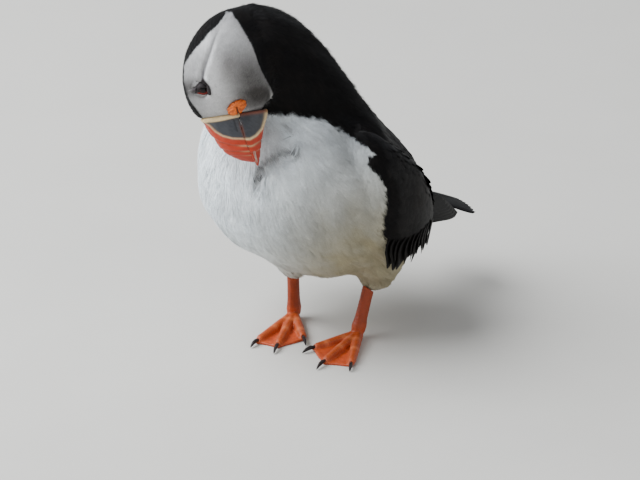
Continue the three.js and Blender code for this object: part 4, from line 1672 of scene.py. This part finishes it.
class PUFFIN_OT_tail(PuffinStep):
    """Fans out the tail feathers"""

    bl_idname = "puffin.tail"
    bl_label = "Tail"

    def execute(self, context):
        make_tail(context.scene.puffin_plumage)
        return {"FINISHED"}


class PUFFIN_OT_bill(PuffinStep):
    """Shapes and colours the horn of both mandibles"""

    bl_idname = "puffin.bill"
    bl_label = "Bill"

    def execute(self, context):
        make_bill(context.scene.puffin_bare)
        return {"FINISHED"}


class PUFFIN_OT_gape(PuffinStep):
    """Folds the rosettes at the corners of the mouth"""

    bl_idname = "puffin.gape"
    bl_label = "Gape rosettes"

    def execute(self, context):
        make_gape(context.scene.puffin_bare)
        return {"FINISHED"}


class PUFFIN_OT_eyes(PuffinStep):
    """Sets the eyes, their lids with the red rim, and the horny plates round them"""

    bl_idname = "puffin.eyes"
    bl_label = "Eyes"

    def execute(self, context):
        make_eyes()
        return {"FINISHED"}


class PUFFIN_OT_legs(PuffinStep):
    """Dresses the shanks, webbed feet and claws"""

    bl_idname = "puffin.legs"
    bl_label = "Legs and feet"

    def execute(self, context):
        make_legs(context.scene.puffin_bare)
        return {"FINISHED"}


class PUFFIN_OT_stage(PuffinStep):
    """Sets the floor, the soft lights and the camera"""

    bl_idname = "puffin.stage"
    bl_label = "Stage"

    def execute(self, context):
        make_stage(context.scene.puffin_stage)
        return {"FINISHED"}


STEPS = (
    PUFFIN_OT_stage, PUFFIN_OT_skin, PUFFIN_OT_bill, PUFFIN_OT_gape, PUFFIN_OT_eyes,
    PUFFIN_OT_legs, PUFFIN_OT_tail, PUFFIN_OT_wings, PUFFIN_OT_coat,
)


class PUFFIN_PT_panel(bpy.types.Panel):
    """The bird's pieces and their sizes"""

    bl_idname = "PUFFIN_PT_panel"
    bl_label = "Puffin"
    bl_space_type = "VIEW_3D"
    bl_region_type = "UI"
    bl_category = "Puffin"

    def draw(self, context):
        for group in ("puffin_plumage", "puffin_bare", "puffin_stage"):
            box = self.layout.box()
            settings = getattr(context.scene, group)
            for name in settings.bl_rna.properties.keys():
                if name not in ("name", "rna_type"):
                    box.prop(settings, name)
        for step in STEPS:
            self.layout.operator(step.bl_idname)


CLASSES = (PuffinPlumage, PuffinBareParts, PuffinStage, *STEPS, PUFFIN_PT_panel)


def register():
    for each in CLASSES:
        bpy.utils.register_class(each)
    bpy.types.Scene.puffin_plumage = bpy.props.PointerProperty(type=PuffinPlumage)
    bpy.types.Scene.puffin_bare = bpy.props.PointerProperty(type=PuffinBareParts)
    bpy.types.Scene.puffin_stage = bpy.props.PointerProperty(type=PuffinStage)


def unregister():
    del bpy.types.Scene.puffin_stage
    del bpy.types.Scene.puffin_bare
    del bpy.types.Scene.puffin_plumage
    for each in reversed(CLASSES):
        bpy.utils.unregister_class(each)


def main():
    register()
    bpy.ops.puffin.stage()
    bpy.ops.puffin.skin()
    bpy.ops.puffin.bill()
    bpy.ops.puffin.gape()
    bpy.ops.puffin.eyes()
    bpy.ops.puffin.legs()
    bpy.ops.puffin.tail()
    bpy.ops.puffin.wings()
    bpy.ops.puffin.coat()


if __name__ == "__main__":
    main()
